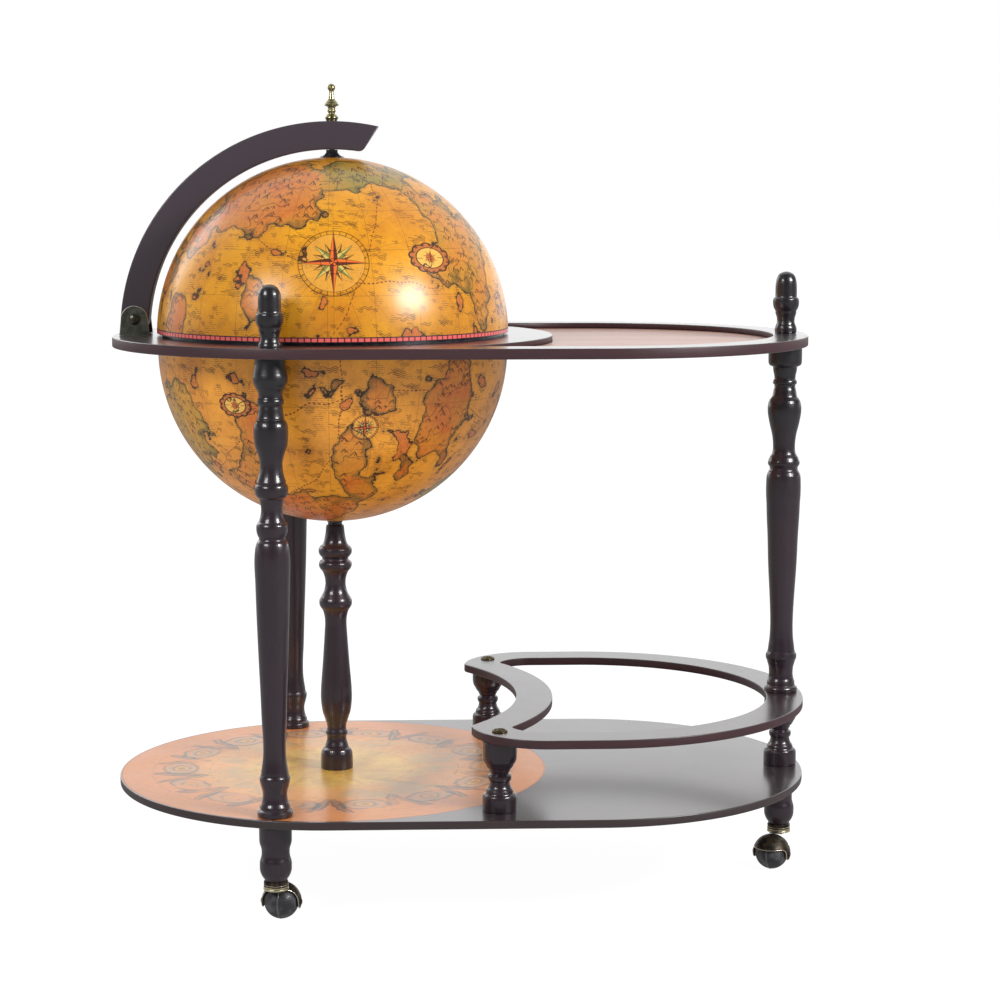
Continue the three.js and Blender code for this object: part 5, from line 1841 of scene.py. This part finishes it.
@dataclass
class Caster:
    """Ball caster: hood with a brim and two lugs, collar with brass rings, and ball."""

    shop: Workshop
    station: Station
    finishes: dict[str, bpy.types.Material]
    ball_radius: float = 20.3
    hood_radius: float = 23.0
    hood_wall: float = 1.4
    brim: float = 7.5
    opening: float = 16.5
    lug: float = 7.0
    trail: float = 24.5
    collar_base: float = 21.2
    collar_radius: float = 14.6

    @property
    def place(self) -> Matrix:
        """From the ball's centre, with the swivel axis towards -X, to the caster's place."""
        x, y = self.station.spot
        turn = math.radians(self.station.trail)
        spot = (x + self.trail * math.cos(turn), y + self.trail * math.sin(turn), self.ball_radius)
        return Matrix.Translation(spot) @ Matrix.Rotation(turn, 4, "Z")

    def skirt(self, brim: float) -> list[Point2]:
        """Angle from the axle and height of the hood's lower edge, over a quarter turn."""
        lug = [(self.lug * math.sin(a), -self.lug * math.cos(a))
               for a in np.linspace(0, QUARTER, 12)]
        rise = [(self.lug + out, brim * share) for out, share in
                ((0.05, 0.2), (0.2, 0.4), (0.8, 0.61), (1.9, 0.8), (3.4, 0.93), (5.2, 1.0))]
        edge = [(math.asin(across / math.sqrt(self.hood_radius ** 2 - height ** 2)), height)
                for across, height in lug + rise]
        return edge + [(a, brim) for a in np.linspace(edge[-1][0], QUARTER, 12)[1:]]

    def edge_round(self) -> list[Point2]:
        """Angle and height of the hood's lower edge all the way round."""
        front, back = self.skirt(self.brim), self.skirt(self.opening)
        loop = []
        for turn, mirrored, quarter in ((0.0, False, front), (math.pi, True, front),
                                        (math.pi, False, back), (TURN, True, back)):
            part = [(turn - a if mirrored else turn + a, h) for a, h in quarter]
            loop += part[:0:-1] if mirrored else part[:-1]
        return loop

    def hood(self) -> bpy.types.Mesh:
        """Domed sheet with its lower edge cut to lugs and brims, given a wall."""
        loop, rows, radius = self.edge_round(), 22, self.hood_radius
        count, points = len(loop), []
        for row in range(rows):
            for angle, height in loop:
                low = math.asin(height / radius)
                lift = low + (QUARTER - low) * row / rows
                out = radius * math.cos(lift)
                points.append((out * math.sin(angle), out * math.cos(angle),
                               radius * math.sin(lift)))
        points.append((0.0, 0.0, radius))
        last = (rows - 1) * count
        crown = [(last + i, rows * count, last + (i + 1) % count) for i in range(count)]
        sheet = linked("sheet", mended(meshed("hood", points, bands(count, rows) + crown)))
        wall = sheet.modifiers.new("wall", "SOLIDIFY")
        wall.thickness, wall.offset = self.hood_wall, -1.0
        return creased(flattened(sheet), 50)

    def bead(self) -> bpy.types.Mesh:
        """Rolled bright edge along the hood's brim and lugs."""
        radius, path = self.hood_radius - 0.3, []
        for angle, height in self.edge_round():
            girth = math.sqrt(radius ** 2 - height ** 2)
            path.append((girth * math.sin(angle), girth * math.cos(angle), height))
        return tube(path, 0.62)

    def neck(self) -> bpy.types.Mesh:
        """Web that joins the hood's dome to the collar."""
        rows, sides, points = 8, 28, []
        for t in (row / (rows - 1) for row in range(rows)):
            reach, wide, tilt = 10.6 - 3.4 * math.sin(QUARTER * t), 9.6 - 1.6 * t, 0.3 * t
            x, z = 11.0 * t - self.trail, self.collar_base + 2.0 - 3.0 * t
            for a in (TURN * side / sides for side in range(sides)):
                points.append((x + reach * math.cos(a) * math.cos(tilt), wide * math.sin(a),
                               z + reach * math.cos(a) * math.sin(tilt)))
        ends = [range(sides), range((rows - 1) * sides, rows * sides)]
        return creased(mended(meshed("neck", points, bands(sides, rows) + ends)), 50)

    def band(self, height: float, half: float, out: float) -> bpy.types.Mesh:
        """One brass ring of the collar, by its height, half its width and its radius."""
        return self.shop.turned([
            (12.8, height - half), (out - 0.5, height - half), (out - 0.05, height - half / 2),
            (out, height), (out - 0.05, height + half / 2), (out - 0.5, height + half),
            (12.8, height + half), (12.8, height - half)], self.finishes["brass"])

    def ball(self) -> bpy.types.Mesh:
        """Ball with a fine seam round it, which is marked as its edge, where its finish paints a
        highlight.
        """
        r, seam = self.ball_radius - 0.3, [(self.ball_radius, -0.4), (self.ball_radius, 0.4)]
        lower, upper = (arc((0.0, 0.0), r, *ends, 25) for ends in ((-1.45, -0.045), (0.045, 1.45)))
        profile = [(0.0, lower[0][1]), *lower, *seam, *upper, (0.0, upper[-1][1])]
        ball = self.shop.turned(profile, self.finishes["ball"], 64)
        number(ball, "edge", np.abs(readings(ball.polygons, "center")[:, 2]) < 0.9)
        ball.transform(Matrix.Rotation(QUARTER, 4, "X"))
        return ball

    def build(self) -> None:
        """Makes and dresses the caster."""
        bronze, brass = self.finishes["bronze"], self.finishes["brass"]
        label, base, r = self.station.label, self.collar_base, self.collar_radius
        cup = self.shop.turned([
            (0, base - 0.2), (11.6, base - 0.2), (13.2, base + 0.4), (14.0, base + 1.5),
            (14.0, base + 5.6), (13.6, base + 6.4), (r - 0.6, base + 8.0), (r - 0.8, base + 9.6),
            (12.4, base + 10.7), (10.4, base + 10.7), (9.2, base + 9.4), (0, base + 9.4)], bronze)
        low, middle, high = (self.band(base + 1.2, 1.15, r), self.band(base + 3.5, 0.95, r - 0.35),
                             self.band(base + 6.1, 0.6, r - 0.5))
        for part in (cup, low, middle, high):
            part.transform(Matrix.Translation((-self.trail, 0.0, 0.0)))
        caps = []
        for side in (-1, 1):
            caps.append(self.shop.turned([(0, 21.0), (3.4, 21.0), (3.4, 23.4), (2.6, 24.0),
                                          (0, 24.2)], bronze, 24))
            caps[-1].transform(Matrix.Rotation(side * QUARTER, 4, "X"))
        hood = joined([self.hood(), cup, self.neck(), *caps])
        body, place = f"caster_{label}", self.place
        self.shop.show(f"caster_hood_{label}_formed", hood, Slot.BRONZE, f"caster_hood_{label}",
                       finish=bronze, place=place, body=body)
        self.shop.show(f"caster_trim_{label}", joined([self.bead(), high]), Slot.BRASS,
                       finish=self.finishes["trim"], place=place, body=body)
        self.shop.show(f"caster_ring_{label}", joined([low, middle]), Slot.BRASS, finish=brass,
                       place=place, body=body)
        self.shop.show(f"caster_ball_{label}_seamed", self.ball(), Slot.BALL,
                       f"caster_ball_{label}", place=place, body=f"ball_{label}")


@dataclass
class Hardware:
    """Cup washers and screws of the gallery, and the fixings that keep their solids."""

    shop: Workshop
    horns: tuple[Point2, ...] = ((38.37, -214.02), (38.37, 214.02))
    rail_top: float = 218.7
    screw_top: float = 220.9
    screw_end: float = 119.5

    def build(self) -> None:
        """Makes and dresses the fixings."""
        brass = Metal("washer_brass", "7e7048", "2b2719", 0.24, 3.0, 0.55).build()
        dark = Metal("screw_bronze", "5e5436", "1e1b14", 0.3, 3.0, 0.6).build()
        steel = Metal("zinc_steel", "b4b6b8", "7c7e80", 0.28, 8.0, 0.4).build()
        base, top = self.rail_top, self.screw_top - 0.9
        washer = self.shop.turned([
            (5.6, base), (8.8, base), (9.2, base + 0.3), (9.0, base + 0.9), (8.2, base + 1.8),
            (7.2, base + 2.2), (6.5, base + 1.9), (5.9, base + 0.9), (5.6, base)], brass, 48, 60.0)
        places = [(x, y, 0.0) for x, y in self.horns]
        self.shop.show("cup_washers_pressed", self.shop.set_out(washer, places, brass),
                       Slot.BRASS, "cup_washer_front", "cup_washer_back")
        arm, tip = 0.55, 3.1
        cross = [(arm, tip), (arm, arm), (tip, arm), (tip, -arm), (arm, -arm), (arm, -tip),
                 (-arm, -tip), (-arm, -arm), (-tip, -arm), (-tip, arm), (-arm, arm), (-arm, tip)]
        head = slab(eased(ring((0.0, 0.0), 5.5, 40, False), top - 1.4, top, 0.3),
                    eased(cross, top - 1.4, top, 0.05, 1))
        shank = self.shop.turned([(0, self.screw_end), (2.2, self.screw_end), (2.2, top - 3.2),
                                  (5.2, top - 1.2), (0, top - 1.2)], dark, 32)
        screws = self.shop.set_out(joined([head, shank]), places, dark)
        self.shop.show("gallery_screws_crossed", screws, Slot.BRASS,
                       "gallery_screw_front", "gallery_screw_back")
        self.shop.dress(steel, "post_screw", "bowl_bolt", "pivot_nut", "pole_pin",
                        "bracket_screw_left", "bracket_screw_right",
                        *(f"{part}_{station.label}" for station in Station for part in
                          ("top_stud", "bottom_stud", "caster_stem", "caster_axle")))


# Studio


@dataclass
class Studio:
    """White floor, white surround, three softboxes and the camera of the photograph."""

    eye: Point3 = (-63.1, -2964.4, 845.0)
    look: Point3 = (0.0367, 0.9917, -0.1232)
    lens: float = 88.68
    shift: float = -0.0163
    target: Point3 = (-40.0, 0.0, 480.0)
    distance: float = 2600.0
    front_light: float = 0.26
    front_gloss: float = 0.05
    back_light: float = 1.0
    level_gloss: float = 0.6
    right_shade: float = 0.85
    left_shade: float = 0.6

    def softbox(self, name: str, azimuth: float, elevation: float, size: Point2,
                power: float) -> None:
        """Adds an area light round the object.

        Args:
            name: name of the light.
            azimuth: degrees to the right of the camera's side.
            elevation: degrees above level.
            size: width and height in millimetres.
            power: watts.
        """
        lamp = bpy.data.lights.new(name, "AREA")
        lamp.shape, lamp.energy = "RECTANGLE", power
        lamp.size, lamp.size_y = size[0] * MM, size[1] * MM
        a, e = math.radians(azimuth), math.radians(elevation)
        back = Vector((math.sin(a) * math.cos(e), -math.cos(a) * math.cos(e), math.sin(e)))
        box = linked(name, lamp)
        box.visible_camera = False
        box.location = (Vector(self.target) + back * self.distance) * MM
        box.rotation_mode = "QUATERNION"
        box.rotation_quaternion = (-back).to_track_quat("-Z", "Y")

    def surround(self) -> None:
        """Makes a surround that is white to look at, and lights less from the front."""
        world = bpy.data.worlds.new("white_surround")
        world.use_nodes = True
        graph = Graph(world.node_tree)
        graph.tree.nodes.clear()
        across, behind, up = graph.add("ShaderNodeTexCoord", out="Generated").parts()
        seen = graph.add("ShaderNodeLightPath", out="Is Camera Ray")
        glossy = graph.add("ShaderNodeLightPath", out="Is Glossy Ray")
        front = self.front_light + (self.front_gloss - self.front_light) * glossy
        shine = (up.ramp(0.18, 0.08) * self.level_gloss - across.ramp(0.55, 0.9) * self.right_shade
                 - across.ramp(-0.6, -0.9) * self.left_shade)
        lit = ((front + (self.back_light - front) * behind.ramp(-0.5, 0.6))
               * (1.0 + glossy * shine))
        glow = graph.add("ShaderNodeBackground", None, {
            "Color": "ffffff", "Strength": seen + (1.0 - seen) * lit})
        graph.feed(graph.tree.nodes.new("ShaderNodeOutputWorld").inputs[0], glow)
        bpy.context.scene.world = world

    def build_floor(self) -> None:
        """Makes the floor."""
        reach = 30.0
        corners = [(-reach, -reach, 0), (reach, -reach, 0), (reach, reach, 0), (-reach, reach, 0)]
        mesh = meshed("floor", corners, [(0, 1, 2, 3)])
        shader = Shader("floor_white")
        haze = shader.spot().noise(400.0)
        glossy = shader.add("ShaderNodeLightPath", out="Is Glossy Ray")
        mesh.materials.append(shader.surface(
            Base_Color=haze.mix("646464", "5c5c5c"), Roughness=0.9, Specular_IOR_Level=0.1,
            Emission_Strength=0.96, Emission_Color=glossy.mix("ffffff", "828282")))
        floor = linked("floor", mesh)

    def build_camera(self) -> None:
        """Makes the camera."""
        data = bpy.data.cameras.new("camera")
        data.lens, data.sensor_width, data.shift_y = self.lens, 36.0, self.shift
        camera = linked("camera", data)
        camera.location = Vector(self.eye) * MM
        camera.rotation_mode = "QUATERNION"
        camera.rotation_quaternion = Vector(self.look).to_track_quat("-Z", "Y")
        bpy.context.scene.camera = camera

    def build(self) -> None:
        """Makes the floor, surround, lights and camera."""
        self.build_floor()
        self.surround()
        self.softbox("softbox_left", -43.0, 28.0, (860.0, 640.0), 26.0)
        self.softbox("softbox_right", 53.5, 26.4, (860.0, 640.0), 57.0)
        self.softbox("softbox_behind", -131.6, 25.0, (760.0, 1000.0), 7.0)
        bpy.context.scene.view_settings.view_transform = "Standard"
        bpy.context.scene.view_settings.look = "None"
        self.build_camera()


def main() -> None:
    """Builds the sub-assemblies in order."""
    logging.basicConfig(level=logging.INFO, format="%(name)s: %(message)s")
    shop = Workshop()
    Studio().build()
    for assembly in (Boards, Turnings, Globe, Meridian):
        assembly(shop).build()
    finishes = {
        "bronze": Metal("caster_bronze", "6a5c48", "211e1a", 0.26, 7.0, 0.6, 0.85).build(),
        "brass": Metal("caster_brass", "f6ecc4", "b4a878", 0.24, 4.0, 0.2).build(),
        "trim": Metal("caster_trim", "ecdcc8", "9c8a72", 0.24, 4.0, 0.25).build(),
        "ball": Moulding("ball_black", "262628", 0.42, 0.15).build(),
    }
    for station in Station:
        Caster(shop, station, finishes).build()
    Hardware(shop).build()
    LOG.info("%d pieces shown", shop.shown)


if __name__ == "__main__":
    main()
